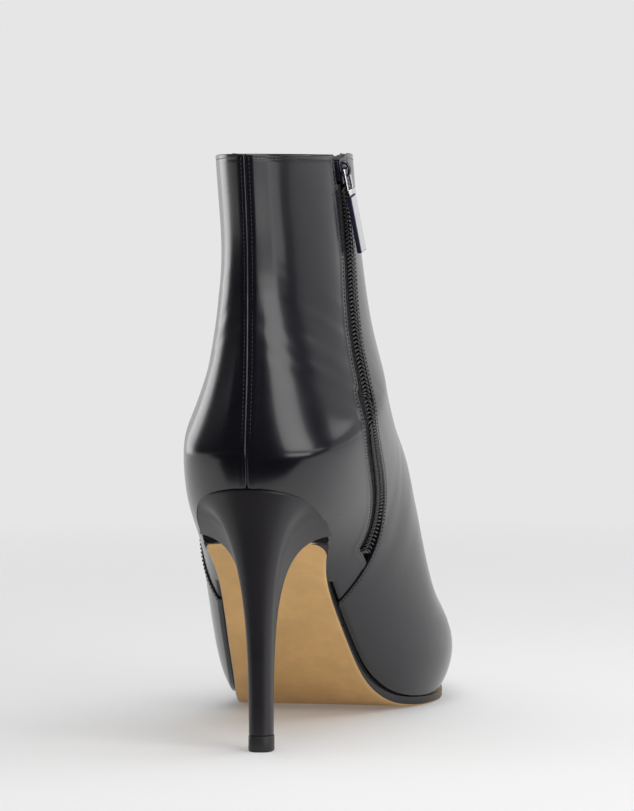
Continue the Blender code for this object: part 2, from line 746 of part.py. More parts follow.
def build_top_piece():
    turn = np.linspace(0, 2 * math.pi, HEEL_COLUMNS, endpoint=False)
    outline_points = top_piece_outline(turn)
    shape = bmesh.new()
    floor = [shape.verts.new((x, y, 0)) for x, y in outline_points]
    face = shape.faces.new(floor)
    made = bmesh.ops.extrude_face_region(shape, geom=[face])
    raised = [v for v in made["geom"] if isinstance(v, bmesh.types.BMVert)]
    bmesh.ops.translate(shape, verts=raised, vec=(0, 0, PLATE_HEIGHT))
    return add_object("top_piece", shape, "rubber")


def zip_line(count):
    """The middle of the zip from the bottom of its opening to the collar."""
    places, _ = upper_grid()
    row = zip_end_row(places)
    edge = places[row:, QUARTER_COLUMNS]
    seam = places[row:, QUARTER_COLUMNS + 1]
    return even_path((edge + seam) / 2, count)


def ribbon(name, path, width, low, high, columns, finish):
    """A strip that follows the surface beside a path, between two depths."""
    rows = []
    for distance in np.linspace(width / 2, -width / 2, columns):
        rows.append(beside(path, distance))
    places = np.stack(rows, 1)
    shape = bmesh.new()
    sheets = []
    for offset in (high, low):
        points = shell_point(places[..., 0], places[..., 1], np.full(places.shape[:2], offset))
        sheets.append([[shape.verts.new(p) for p in row] for row in points])
    join_sheets(shape, sheets[0], sheets[1], lambda i, j: True)
    return add_object(name, shape, finish)


def build_zip_tape():
    path = zip_line(ZIP_ROWS)
    below = path[0] + (path[0] - path[1]) * TAPE_TAIL
    top_end = path[-1] + (path[-2] - path[-1]) * TAPE_TOP_SHORT
    path = np.concatenate([[below], path[:-1], [top_end]])
    top = -WALL - TAPE_GAP
    return ribbon("zip_tape", path, TAPE_WIDTH, top - TAPE_THICKNESS, top, TAPE_COLUMNS, "zip_fabric")


def slider_frame():
    """Place and turn of the slider: X across the zip, Y down it, Z out of the shoe."""
    path = zip_line(200)
    points = surface(path[:, 0], path[:, 1])
    run = np.concatenate([[0], np.cumsum(np.linalg.norm(np.diff(points, axis=0), axis=1))])
    index = int(np.argmin(np.abs(run - (run[-1] - SLIDER_DROP))))
    out = Vector(normals(path[index, 0], path[index, 1]))
    down = Vector(points[index - 6] - points[index + 6])
    down = (down - out * down.dot(out)).normalized()
    across = down.cross(out)
    turned = Matrix((across, down, out)).transposed().to_4x4()
    return Matrix.Translation(Vector(points[index])) @ turned


def build_zip_chain():
    path = zip_line(400)
    points = surface(path[:, 0], path[:, 1])
    run = np.concatenate([[0], np.cumsum(np.linalg.norm(np.diff(points, axis=0), axis=1))])
    end = run[-1] - SLIDER_DROP - SLIDER_LENGTH / 2 - PART_GAP * 2
    path = path[(run >= CHAIN_START) & (run <= end)]
    path = even_path(path, ZIP_ROWS)
    low = -WALL
    return ribbon("zip_chain", path, CHAIN_WIDTH, low, low + CHAIN_THICKNESS, 3, "zip_coil")


def box_object(name, size, centre, finish, bevel=0.0):
    """A box with its centre at a place in the slider's frame."""
    shape = bmesh.new()
    made = bmesh.ops.create_cube(shape, size=1)
    bmesh.ops.scale(shape, verts=made["verts"], vec=size)
    bmesh.ops.translate(shape, verts=made["verts"], vec=centre)
    if bevel:
        bmesh.ops.bevel(shape, geom=shape.edges, offset=bevel, affect="EDGES", segments=2,
                        profile=0.5, material=-1)
    return add_object(name, shape, finish)


def cutter(made):
    made.hide_render = True
    made.display_type = "WIRE"
    made.hide_set(True)


def combine(target, other, operation):
    change = target.modifiers.new(f"{operation.lower()}_{other.name}", "BOOLEAN")
    change.operation = operation
    change.solver = "EXACT"
    change.object = other
    cutter(other)


SLIDER_BACK = -WALL
BRIDGE_BASE = SLIDER_BACK + SLIDER_THICKNESS
PIN_HEIGHT = BRIDGE_BASE + BRIDGE_HEIGHT - BRIDGE_BAR - LINK_WIRE / 2 - PART_GAP


def build_slider(frame):
    middle = SLIDER_BACK + SLIDER_THICKNESS / 2
    body = box_object("zip_slider", (SLIDER_WIDTH, SLIDER_LENGTH, SLIDER_THICKNESS), (0, 0, middle),
                      "metal", SLIDER_BEVEL)
    bridge_middle = BRIDGE_BASE + (BRIDGE_HEIGHT - UNION_OVERLAP) / 2
    bridge = box_object("slider_bridge", (BRIDGE_WIDTH, BRIDGE_LENGTH, BRIDGE_HEIGHT + UNION_OVERLAP),
                        (0, 0, bridge_middle), "metal", SMALL_BEVEL)
    window_height = BRIDGE_HEIGHT - BRIDGE_BAR
    window = box_object("bridge_window",
                        (BRIDGE_WIDTH * 2, BRIDGE_LENGTH - 2 * BRIDGE_BAR, window_height),
                        (0, 0, BRIDGE_BASE + window_height / 2 + WINDOW_CLEARANCE), "metal")
    for made in (body, bridge, window):
        made.data.transform(frame)
    combine(bridge, window, "DIFFERENCE")
    combine(body, bridge, "UNION")
    return body


def pull_frame(frame):
    """The pull's own frame on its pin: Y runs down the pull, leaning out from the shoe."""
    return frame @ Matrix.Translation((0, 0, PIN_HEIGHT)) @ Matrix.Rotation(PULL_LEAN, 4, "X")


def build_pull(frame):
    hinge = pull_frame(frame)
    pin = bpy.data.objects.new("pull_hinge", None)
    pin.matrix_world = hinge
    bpy.context.scene.collection.objects.link(pin)
    bpy.context.view_layer.update()
    shape = bmesh.new()
    made = bmesh.ops.create_cone(shape, cap_ends=True, segments=14, radius1=LINK_WIRE / 2,
                                 radius2=LINK_WIRE / 2, depth=LINK_SPAN)
    along_pin = Matrix.Rotation(math.pi / 2, 3, "Y")
    bmesh.ops.rotate(shape, verts=made["verts"], cent=(0, 0, 0), matrix=along_pin)
    bar = add_object("pull_link", shape, "metal")
    bar.data.transform(hinge)
    for side in (-1, 1):
        place = (side * LINK_SPAN / 2, (LINK_LENGTH - LINK_WIRE) / 2, 0)
        prong = box_object(f"prong_{side + 2}", (LINK_WIRE, LINK_LENGTH, LINK_WIRE), place, "metal",
                           PRONG_BEVEL)
        prong.data.transform(hinge)
        combine(bar, prong, "UNION")
    grip_width = LINK_SPAN + LINK_WIRE + 2 * GRIP_OVERHANG
    grip = box_object("grip", (grip_width, LINK_GRIP, GRIP_THICKNESS),
                      (0, LINK_LENGTH - LINK_GRIP / 2, 0), "metal", SMALL_BEVEL)
    grip.data.transform(hinge)
    combine(bar, grip, "UNION")
    tab_start = LINK_LENGTH + PART_GAP
    tab = box_object("pull_tab", (PULL_WIDTH, PULL_LENGTH, PULL_THICKNESS),
                     (0, tab_start + PULL_LENGTH / 2, 0), "upper_leather", SMALL_BEVEL)
    tab.data.transform(hinge)
    for made in (bar, tab):
        made.parent = pin
        made.matrix_parent_inverse = hinge.inverted()


def build_zip():
    build_zip_tape()
    build_zip_chain()
    frame = slider_frame()
    build_slider(frame)
    build_pull(frame)


def main():
    for old in list(bpy.data.objects):
        bpy.data.objects.remove(old)
    build_upper()
    build_outsole()
    build_insole()
    build_heel()
    build_top_piece()
    build_zip()


main()
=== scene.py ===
"""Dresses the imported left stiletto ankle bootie: leather, stitches, zip, sole, light and camera.

The last, the sole line and the heel's outline repeat the part's own tables, in metres, so each
piece lies where its solid is. A place on the upper is (section, turn): sections run from the toe's
tip to the collar, and turn 0 is the sole or back seam, pi the ridge, positive on the medial side.
"""

import json
import math

import bmesh
import bpy
import numpy as np
from bpy.props import FloatProperty, FloatVectorProperty, PointerProperty
from bpy.types import Operator, Panel, PropertyGroup
from mathutils import Matrix, Vector


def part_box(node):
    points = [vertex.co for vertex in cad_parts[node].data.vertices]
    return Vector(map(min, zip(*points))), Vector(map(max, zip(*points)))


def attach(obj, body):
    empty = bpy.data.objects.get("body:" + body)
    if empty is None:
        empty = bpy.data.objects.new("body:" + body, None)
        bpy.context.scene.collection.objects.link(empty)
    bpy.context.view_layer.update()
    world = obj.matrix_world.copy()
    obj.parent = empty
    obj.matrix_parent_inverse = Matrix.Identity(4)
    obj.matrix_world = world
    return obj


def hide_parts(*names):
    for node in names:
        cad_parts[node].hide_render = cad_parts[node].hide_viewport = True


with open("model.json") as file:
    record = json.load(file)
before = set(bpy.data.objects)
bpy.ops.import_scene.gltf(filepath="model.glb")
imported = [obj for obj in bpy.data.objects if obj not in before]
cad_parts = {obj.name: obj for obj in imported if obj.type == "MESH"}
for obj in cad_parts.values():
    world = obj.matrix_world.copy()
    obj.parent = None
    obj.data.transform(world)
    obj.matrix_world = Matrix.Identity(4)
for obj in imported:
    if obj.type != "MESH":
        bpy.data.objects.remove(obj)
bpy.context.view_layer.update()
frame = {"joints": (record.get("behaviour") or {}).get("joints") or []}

bl_info = {
    "name": "Stiletto ankle bootie",
    "version": (1, 0, 0),
    "blender": (4, 5, 0),
    "location": "3D View > Sidebar > Bootie",
    "description": "Dresses the packed ankle bootie and sets its stage",
    "category": "Object",
}

# Sizes of the part that its pieces follow
SHOE_LENGTH = 0.2335
HEEL_HEIGHT = 0.1003
SHAFT_HEIGHT = 0.1225
BALL_WIDTH = 0.080
INSTEP_DEPTH = 0.075
SEAT_OVERHANG = 0.0135
WALL = 0.0018
SEAM_STEP = 0.0007
ZIP_OPENING = 0.0090
ZIP_END_ABOVE_SOLE = 0.0138
SOLE_CLEARANCE = 0.0004
FOREFOOT_SOLE = 0.0037
WAIST_SOLE = 0.0028
SOLE_MARGIN = 0.0021
WAIST_MARGIN = -0.0012
INSOLE_THICKNESS = 0.0024
INSOLE_CLEARANCE = 0.0005
INSOLE_TOE_INSET = 0.0030
INSOLE_TOE_REACH = 0.0300
THIN_UP_TO = 0.15
THICK_FROM = 0.50
CLOSE_UP_TO = 0.46
WIDE_FROM = 0.64
BREAST_PLACE = 0.0312
BREAST_HOLLOW = 0.0060
BREAST_GAP = 0.0004
BREAST_REACH = 0.0120
BREAST_HALF_WIDTH = 0.0240
BREAST_MIDDLE = -0.0020
PLATE_HALF_WIDTH = 0.0047
PLATE_BACK = 0.0047
PLATE_FRONT = 0.0056
PLATE_HEIGHT = 0.0060
PLATE_SIDE_POWER = 0.8
PLATE_BREAST_POWER = 0.55
STEM_TAPER = 0.0002
PART_GAP = 0.0003

# The seat-to-toe line of the sole's upper face: share of SHOE_LENGTH from the seat's back,
# and share of HEEL_HEIGHT above the floor.
SOLE_LINE = (
    (0.000, 1.000),
    (0.060, 0.950),
    (0.120, 0.880),
    (0.190, 0.782),
    (0.250, 0.653),
    (0.315, 0.500),
    (0.380, 0.337),
    (0.445, 0.184),
    (0.510, 0.085),
    (0.580, 0.045),
    (0.660, 0.038),
    (0.760, 0.044),
    (0.880, 0.070),
    (1.000, 0.105),
)

# Sections of the last. along: low point from the seat's back, share of SHOE_LENGTH. rise: its
# height over the seat, share of SHAFT_HEIGHT, or 0 where it lies on the sole line. depth: low
# point to ridge, share of INSTEP_DEPTH. lean: degrees forward from upright. half: half-width,
# widest: its place up the section, feather: share of half at the sole's edge, low and high:
# boxiness below and above, across and swing: sideways place of the low point and the ridge,
# medial positive. half, across and swing are shares of BALL_WIDTH.
SECTION_COLUMNS = (
    "along", "rise", "depth", "lean", "half", "widest", "feather", "low", "high", "across",
    "swing",
)
SECTIONS = {
    "tip": (1.000, 0.0, 0.070, 0, 0.000, 0.50, 0.90, 0.00, 0.00, 0.12, 0.12),
    "nose": (0.974, 0.0, 0.185, -8, 0.110, 0.50, 0.90, 0.02, 0.00, 0.12, 0.125),
    "toe": (0.906, 0.0, 0.320, 2, 0.235, 0.50, 0.91, 0.03, 0.00, 0.12, 0.135),
    "toes": (0.807, 0.0, 0.453, 5, 0.372, 0.50, 0.92, 0.03, 0.00, 0.10, 0.14),
    "joint": (0.700, 0.0, 0.573, 9, 0.487, 0.48, 0.92, 0.03, 0.00, 0.07, 0.15),
    "ball": (0.606, 0.0, 0.716, 16, 0.530, 0.46, 0.88, 0.02, 0.00, 0.03, 0.155),
    "waist": (0.499, 0.0, 0.880, 27, 0.520, 0.45, 0.75, 0.01, 0.00, -0.025, 0.16),
    "arch": (0.379, 0.0, 1.020, 40.7, 0.487, 0.45, 0.645, 0.00, 0.00, -0.06, 0.17),
    "instep": (0.251, 0.0, 1.120, 55, 0.462, 0.44, 0.62, 0.00, 0.00, -0.066, 0.165),
    "seat": (0.122, 0.0, 1.267, 66.4, 0.450, 0.42, 0.69, 0.00, 0.00, -0.040, 0.155),
    "rear": (-0.006, 0.030, 1.480, 70.5, 0.436, 0.41, 0.0, 0.01, 0.00, -0.018, 0.145),
    "counter": (-0.020, 0.125, 1.515, 73.0, 0.405, 0.43, 0.0, 0.00, -0.01, -0.012, 0.15),
    "ankle": (-0.009, 0.300, 1.400, 74.6, 0.330, 0.45, 0.0, -0.01, -0.02, -0.010, 0.165),
    "calf": (0.0107, 0.525, 1.280, 78, 0.285, 0.48, 0.0, -0.03, -0.03, -0.015, 0.16),
    "shaft": (0.0171, 0.760, 1.213, 83.7, 0.278, 0.50, 0.0, -0.05, -0.05, -0.020, 0.135),
    "collar": (0.0128, 1.000, 1.207, 91, 0.282, 0.50, 0.0, -0.05, -0.05, -0.030, 0.11),
}
LAST_SECTION = len(SECTIONS) - 1

# The side seam, which is also the front edge of the zip: section, and turn as a share of pi.
SIDE_SEAM = (
    (15.0, 0.500),
    (14.0, 0.530),
    (13.0, 0.535),
    (12.0, 0.522),
    (11.0, 0.508),
    (10.0, 0.502),
    (9.0, 0.497),
    (8.2, 0.432),
    (7.75, 0.330),
    (7.45, 0.195),
)

# The heel's outer face, by turn round its outline: where the curve from top piece to seat bends.
# climb: height of each handle as a share of the rise, spread: sideways place of the upper handle
# as a share of the way out to the rim.
HEEL_HANDLES = {
    "back": {"climb": (0.50, 0.80), "spread": 0.30},
    "side": {"climb": (0.80, 1.000), "spread": 0.22},
    "breast": {"climb": (0.70, 0.960), "spread": 0.10},
}

# Shares of the heel's columns at which the seat's two corners stand.
RIM_CORNERS = (0.335, 0.665)
# The heel's back and breast: cosine of the turn at which each starts, and how fast it takes over.
BACK_START = 0.10
BACK_SPAN = 0.90
BREAST_START = 0.35
BREAST_SPAN = 0.50


def spline(knots, values, flat_start=False):
    """A natural cubic through rows of values, or one whose slope is zero at its first knot."""
    x = np.asarray(knots, float)
    y = np.asarray(values, float)
    count = len(x)
    step = np.diff(x)
    matrix = np.zeros((count, count))
    right = np.zeros_like(y)
    for i in range(1, count - 1):
        matrix[i, i - 1] = step[i - 1]
        matrix[i, i] = 2 * (step[i - 1] + step[i])
        matrix[i, i + 1] = step[i]
        right[i] = 6 * ((y[i + 1] - y[i]) / step[i] - (y[i] - y[i - 1]) / step[i - 1])
    matrix[-1, -1] = 1
    matrix[0, 0] = 1
    if flat_start:
        matrix[0, :2] = (2 * step[0], step[0])
        right[0] = 6 * (y[1] - y[0]) / step[0]
    bend = np.linalg.solve(matrix, right)

    def at(place):
        t = np.asarray(place, float)
        i = np.clip(np.searchsorted(x, t) - 1, 0, count - 2)
        wide = t.shape + (1,) * (y.ndim - 1)
        a = (x[i + 1] - t).reshape(wide)
        b = (t - x[i]).reshape(wide)
        h = step[i].reshape(wide)
        curve = (bend[i] * a**3 + bend[i + 1] * b**3) / (6 * h)
        return curve + (y[i] / h - bend[i] * h / 6) * a + (y[i + 1] / h - bend[i + 1] * h / 6) * b

    return at


def share_of_width(turn, low, high):
    """Half-width at a turn round the section, as a share of the section's own half-width."""
    boxy = low + (high - low) * (1 - np.cos(turn)) / 2
    return (np.sin(turn) + boxy * np.sin(3 * turn)) / (1 - (low + high) / 2)


def share_of_depth(turn, widest):
    """Way from low point to ridge at a turn, 0 to 1, with the widest place where it is asked."""
    return (0.5 + widest) / 2 - np.cos(turn) / 2 + (0.5 - widest) / 2 * np.cos(2 * turn)


SOLE_PLACES = [share * SHOE_LENGTH - SEAT_OVERHANG for share, _ in SOLE_LINE]
SOLE_HEIGHTS = [share * HEEL_HEIGHT for _, share in SOLE_LINE]
sole_height = spline(SOLE_PLACES, SOLE_HEIGHTS)


def section_splines():
    """Splines through the table: the sections' two end points, and their other values."""
    table = np.array(list(SECTIONS.values()))
    column = {name: table[:, i] for i, name in enumerate(SECTION_COLUMNS)}
    low_y = column["along"] * SHOE_LENGTH - SEAT_OVERHANG
    on_shaft = HEEL_HEIGHT + column["rise"] * SHAFT_HEIGHT
    low_z = np.where(column["rise"] > 0, on_shaft, sole_height(low_y))
    lean = np.radians(column["lean"])
    depth = column["depth"] * INSTEP_DEPTH
    low = np.stack([column["across"] * BALL_WIDTH, low_y, low_z], 1)
    ridge_y = low_y + depth * np.sin(lean)
    ridge_z = low_z + depth * np.cos(lean)
    ridge = np.stack([column["swing"] * BALL_WIDTH, ridge_y, ridge_z], 1)
    turns = np.linspace(0, math.pi / 2, 1500)
    for i, share in enumerate(column["feather"]):
        if share > 0:
            widths = share_of_width(turns, column["low"][i], column["high"][i])
            turn = turns[np.argmax(widths >= share)]
            under = share_of_depth(turn, column["widest"][i])
            low[i] -= under / (1 - under) * (ridge[i] - low[i])
    knots = np.arange(len(table), dtype=float)
    along = spline(knots, np.stack([low[:, 1], ridge[:, 1]], 1), flat_start=True)
    others = [low[:, 0], low[:, 2], ridge[:, 0], ridge[:, 2], column["half"] * BALL_WIDTH]
    others += [column["widest"], column["low"], column["high"]]
    return along, spline(knots, np.stack(others, 1))


along_spline, other_spline = section_splines()


def surface(section, turn):
    """Points of the last's surface, in metres."""
    section = np.asarray(section, float)
    turn = np.asarray(turn, float)
    y = along_spline(section)
    o = other_spline(section)
    low = np.stack([o[..., 0], y[..., 0], o[..., 1]], -1)
    ridge = np.stack([o[..., 2], y[..., 1], o[..., 3]], -1)
    point = low + share_of_depth(turn, o[..., 5])[..., None] * (ridge - low)
    point[..., 0] += o[..., 4] * share_of_width(turn, o[..., 6], o[..., 7])
    return point


def slopes(section, turn):
    """The surface's two slopes: along the sections and round them."""
    section = np.clip(np.asarray(section, float), 0.03, LAST_SECTION - 0.01)
    turn = np.asarray(turn, float)
    tiny = 1e-3
    along = (surface(section + tiny, turn) - surface(section - tiny, turn)) / (2 * tiny)
    around = (surface(section, turn + tiny) - surface(section, turn - tiny)) / (2 * tiny)
    return along, around


def normals(section, turn):
    """Unit normals of the surface, pointing out of the shoe."""
    along, around = slopes(section, turn)
    across = np.cross(around, along)
    return across / np.linalg.norm(across, axis=-1, keepdims=True)


def shell_point(section, turn, offset):
    return surface(section, turn) + np.asarray(offset)[..., None] * normals(section, turn)


def feather_turn(section):
    """Turn at which a section crosses the sole's upper face, or 0 where it's above the seat."""
    turns = np.linspace(0, 0.75 * math.pi, 500)
    found = []
    for value in np.atleast_1d(section):
        points = surface(np.full(turns.shape, value), turns)
        above = points[:, 2] - sole_height(points[:, 1])
        if above[0] >= 0:
            found.append(0.0)
            continue
        i = int(np.argmax(above > 0))
        part = -above[i - 1] / (above[i] - above[i - 1])
        found.append(turns[i - 1] + part * (turns[i] - turns[i - 1]))
    return np.array(found)


def seat_section():
    """The section at which the two feather edges meet, at the seat's back."""
    below = 8.0
    above = 11.0
    for _ in range(40):
        middle = (below + above) / 2
        if feather_turn(middle)[0] > 0:
            below = middle
        else:
            above = middle
    return above


SEAT_END = seat_section()


def feather_path(first, last, count=240):
    """The feather edge from one section to another, packed close where it turns fast."""
    share = np.linspace(0, 1, count)
    share = np.where(last == SEAT_END, 1 - (1 - share) ** 2, share)
    share = np.where(first == SEAT_END, share**2, share)
    sections = first + (last - first) * share
    turns = feather_turn(sections)
    turns = np.where(sections == SEAT_END, 0.0, turns)
    return np.stack([sections, turns], 1)


def seam_path(count=160):
    """The side seam from the sole up to the collar."""
    knots = np.arange(len(SIDE_SEAM))
    curve = spline(knots, np.array([(s, t * math.pi) for s, t in SIDE_SEAM]))
    path = curve(np.linspace(0, len(SIDE_SEAM) - 1, count))[::-1]
    above = path[:, 1] > feather_turn(path[:, 0]) + 1e-3
    return path[int(np.argmax(above)):]


def beside(path, distance):
    """A path at a distance from another across the surface, towards the heel if positive."""
    along, around = slopes(path[:, 0], path[:, 1])
    points = surface(path[:, 0], path[:, 1])
    run = np.gradient(points, axis=0)
    run /= np.linalg.norm(run, axis=1, keepdims=True)
    out = normals(path[:, 0], path[:, 1])
    aside = np.cross(out, run)
    moved = []
    for place, ds, dt, way in zip(path, along, around, aside):
        basis = np.stack([ds, dt], 1)
        change = np.linalg.lstsq(basis, way * distance, rcond=None)[0]
        moved.append(place + change)
    return np.array(moved)


def drop_to_feather(path):
    """The path with its lower end carried on, or cut, to end on the feather edge."""
    low = path[0] + (path[0] - path[2]) * np.linspace(3, 0, 40, endpoint=False)[:, None]
    path = np.concatenate([low, path])
    turns = feather_turn(path[:, 0])
    above = path[:, 1] > turns
    first = int(np.argmax(above))
    gap_before = path[first - 1, 1] - turns[first - 1]
    gap_after = path[first, 1] - turns[first]
    share = -gap_before / (gap_after - gap_before)
    foot = path[first - 1] + share * (path[first] - path[first - 1])
    foot[1] = feather_turn(foot[0])[0]
    top = path[-1].copy()
    top[0] = LAST_SECTION
    return np.concatenate([[foot], path[first:-1], [top]])


FRONT_SEAM = drop_to_feather(seam_path())
QUARTER_EDGE = drop_to_feather(beside(FRONT_SEAM, ZIP_OPENING))


def patch(left, right, bottom, top):
    """Rows of (section, turn) inside four paths, by blending opposite sides."""
    rows = len(left)
    columns = len(bottom)
    u = np.linspace(0, 1, columns)[None, :, None]
    v = np.linspace(0, 1, rows)[:, None, None]
    grid = (1 - u) * left[:, None] + u * right[:, None]
    grid = grid + (1 - v) * bottom[None] + v * top[None]
    corners = (1 - u) * (1 - v) * bottom[0] + u * (1 - v) * bottom[-1]
    corners = corners + (1 - u) * v * top[0] + u * v * top[-1]
    return grid - corners


def outline(first_place, margin, count):
    """Medial and lateral edges of a flat piece under the upper, from a place to the toe's tip.

    margin is a function of the place along the shoe: how far the edge lies outside the feather.
    """
    sections = np.linspace(0, SEAT_END, 500)
    path = np.stack([sections, feather_turn(sections)], 1)
    medial = surface(path[:, 0], path[:, 1])
    lateral = surface(path[:, 0], -path[:, 1])
    ring = np.concatenate([lateral[::-1], medial[1:]])[:, :2]
    way = np.gradient(ring, axis=0)
    way /= np.linalg.norm(way, axis=1, keepdims=True)
    out = np.stack([-way[:, 1], way[:, 0]], 1)
    ring = ring + out * margin(ring[:, 1])[:, None]
    middle = len(lateral) - 1
    sides = []
    for side in (ring[middle:], ring[middle::-1]):
        side = side[side[:, 1] >= first_place - 1e-6]
        run = travelled(side)
        sides.append(read_path(run[-1] * np.linspace(1, 0, count), run, side))
    return sides


def breast_line(x):
    """Place along the shoe of the heel's breast, hollow in the middle."""
    side = np.clip((x - BREAST_MIDDLE) / BREAST_HALF_WIDTH, -1, 1)
    return BREAST_PLACE - BREAST_HOLLOW * np.cos(side * math.pi / 2) ** 2


def travelled(points):
    """Distance from the first point along a path, at each of its points."""
    return np.concatenate([[0], np.cumsum(np.linalg.norm(np.diff(points, axis=0), axis=1))])


def read_path(at, run, points):
    """Points of a path at the distances asked, by the distances of its own points."""
    return np.stack([np.interp(at, run, points[:, i]) for i in range(points.shape[1])], -1)


def ease(value):
    value = np.clip(value, 0, 1)
    return value * value * (3 - 2 * value)


def sole_thickness(y):
    """Thin at the waist, full at the forefoot."""
    share = ease((y / SHOE_LENGTH - THIN_UP_TO) / (THICK_FROM - THIN_UP_TO))
    return WAIST_SOLE + (FOREFOOT_SOLE - WAIST_SOLE) * share


def sole_margin(y):
    """How far the sole's edge shows outside the upper: hardly at the waist, more in front."""
    share = ease((y / SHOE_LENGTH - CLOSE_UP_TO) / (WIDE_FROM - CLOSE_UP_TO))
    return WAIST_MARGIN + (SOLE_MARGIN - WAIST_MARGIN) * share


def top_piece_outline(turn):
    """The D of the heel's end: round at the back, flatter at the breast."""
    x = PLATE_HALF_WIDTH * np.sign(np.sin(turn)) * np.abs(np.sin(turn)) ** PLATE_SIDE_POWER
    y = np.where(np.cos(turn) > 0, -PLATE_BACK * np.cos(turn),
                 PLATE_FRONT * np.abs(np.cos(turn)) ** PLATE_BREAST_POWER)
    return np.stack([x, y], -1)


def heel_rim(count):
    """The heel's upper edge: the seat from the back round one side, and the breast between."""
    sections = np.linspace(0, SEAT_END, 900)
    turns = feather_turn(sections)
    rims = []
    for side in (1, -1):
        points = surface(sections, side * turns)[:, :2]
        points = points[points[:, 1] <= BREAST_PLACE]
        rims.append(points[::-1])
    medial, lateral = rims
    line = np.linspace(medial[-1, 0], lateral[-1, 0], 60)
    breast = np.stack([line, breast_line(line)], 1)
    ring = np.concatenate([medial, breast[1:-1], lateral[::-1]])
    run = travelled(ring)
    corners = (run[len(medial) - 1], run[len(medial) + len(line) - 3])
    shares = (0, *RIM_CORNERS, 1)
    at = np.interp(np.linspace(0, 1, count, endpoint=False), shares, (0, *corners, run[-1]))
    return read_path(at, run, ring)


def heel_points(columns, rows):
    """Rows by columns of points on the heel's outer face, from its end up to the seat."""
    turn = np.linspace(0, 2 * math.pi, columns, endpoint=False)
    foot = top_piece_outline(turn)
    foot = foot * (1 - STEM_TAPER / PLATE_HALF_WIDTH)
    start = np.concatenate([foot, np.full((columns, 1), PLATE_HEIGHT + PART_GAP)], 1)
    rim = heel_rim(columns)
    seat = sole_height(rim[:, 1]) - SOLE_CLEARANCE
    end = np.concatenate([rim, seat[:, None]], 1)
    back = ease((np.cos(turn) - BACK_START) / BACK_SPAN)
    breast = ease((-np.cos(turn) - BREAST_START) / BREAST_SPAN)
    side = 1 - back - breast

    def blend(read):
        shares = ((back, "back"), (side, "side"), (breast, "breast"))
        return sum(weight * read(HEEL_HANDLES[name]) for weight, name in shares)

    rise = end[:, 2] - start[:, 2]
    low_climb = blend(lambda handle: handle["climb"][0])
    high_climb = blend(lambda handle: handle["climb"][1])
    spread = blend(lambda handle: handle["spread"])
    low_handle = start.copy()
    low_handle[:, 2] += low_climb * rise
    high_handle = start + (end - start) * spread[:, None]
    high_handle[:, 2] = start[:, 2] + high_climb * rise
    t = np.linspace(0, 1, rows)[:, None, None]
    curve = (1 - t) ** 3 * start + 3 * (1 - t) ** 2 * t * low_handle
    return curve + 3 * (1 - t) * t**2 * high_handle + t**3 * end


# The camera fitted to the photograph
VIEW_AZIMUTH = math.radians(12.0)
VIEW_DISTANCE = 1.500
VIEW_HEIGHT = 0.232
VIEW_YAW = math.radians(-0.83)
VIEW_PITCH = math.radians(3.92)
VIEW_ROLL = math.radians(-0.37)
FOCAL_PIXELS = 4045.7
FRAME_HEIGHT = 811
SENSOR = 36.0

# Lights: azimuth to the right of the camera and height in degrees, distance, size in metres,
# and brightness as a multiple of pure white
LIGHTS = (
    ("front_low", 40, -2.2, 0.85, (0.44, 0.16), 3.2),
    ("front_high", 41, 21.4, 0.85, (0.47, 0.36), 3.2),
    ("front_side", 61, 6.1, 0.85, (0.24, 0.085), 2.2),
    ("right_wall", 104, 6, 1.3, (1.10, 0.46), 0.6),
    ("right_box", 106, 32, 1.3, (0.95, 0.62), 2.1),
    ("left_box", -88, 28, 1.3, (0.90, 0.70), 0.5),
    ("rear_box", -138, 8, 1.3, (0.55, 0.80), 1.6),
    ("top_box", 20, 80, 1.5, (1.6, 1.6), 2.7),
)
LIGHT_AIM = (0.005, 0.06, 0.12)

# The floor's paper: how much of it is lit, not glowing, near the shoe and where that ends, how
# white it is, and its half-width, length, flat run, bend and reach in front of the shoe
LIT_SHARE = 0.85
LIT_REACH = (0.30, 0.90)
PAPER = 0.92
PAPER_HALF_WIDTH = 5.0
PAPER_LENGTH = 8.0
PAPER_FLAT = 5.6
PAPER_BEND = 0.9
PAPER_FRONT = 3.0

# The dark cloth in front of the shoe: its corners, to the right of the camera's line and along it
FLAG = ((-0.075, -0.008), (0.045, -0.036), (0.21, -0.16), (2.9, -0.16), (2.9, -2.9),
        (-2.9, -2.9), (-2.9, -0.12), (-0.30, -0.12))
FLAG_HEIGHT = 0.0008

# The sole: where it starts, its rows and columns, the rounding of its lower edge, the paint's
# profile as shares of the side (below 0, of the rounding) and insets, the heel cover on its end
# and corners, and the insets of the lasting margin's rows
SOLE_START = BREAST_PLACE + BREAST_GAP
SOLE_ROWS = 220
SOLE_SHARES = np.concatenate([[0, 0.003, 0.008], np.linspace(0.016, 0.984, 44), [0.992, 0.997, 1]])
EDGE_ROUND = 0.0011
EDGE_PROFILE = ((1.0, -0.0006), (1.0, 0.0), (0.6, 0.0), (0.0, 0.0), (-0.45, -0.00025),
                (-0.72, -0.0006))
END_COVER = 0.0007
COVER_LIFT = 0.00022
COVER_THICKNESS = 0.0003
MARGIN_INSETS = (0.0006, 0.0015, 0.0030, 0.0060)

# Rows and columns of the heel, columns of its tip, and the tip's profile: insets and heights
HEEL_COLUMNS = 176
HEEL_ROWS = 120
TIP_COLUMNS = 97
TIP_PROFILE = ((0.00045, 0.0), (0.00015, 0.0001), (0.0, 0.0004), (0.0, PLATE_HEIGHT - 0.0003),
               (0.0002, PLATE_HEIGHT - 0.00005), (0.0006, PLATE_HEIGHT))

# The heel's rolled upper edge: distances from the rim, and how far it turns in
RIM_ROLL = (0.0, 0.0001, 0.00025, 0.0005, 0.0008, 0.0011, 0.0014)
RIM_DROP = 0.0013
CORNER_REACH = 0.0065
SOFT_PASSES = 80

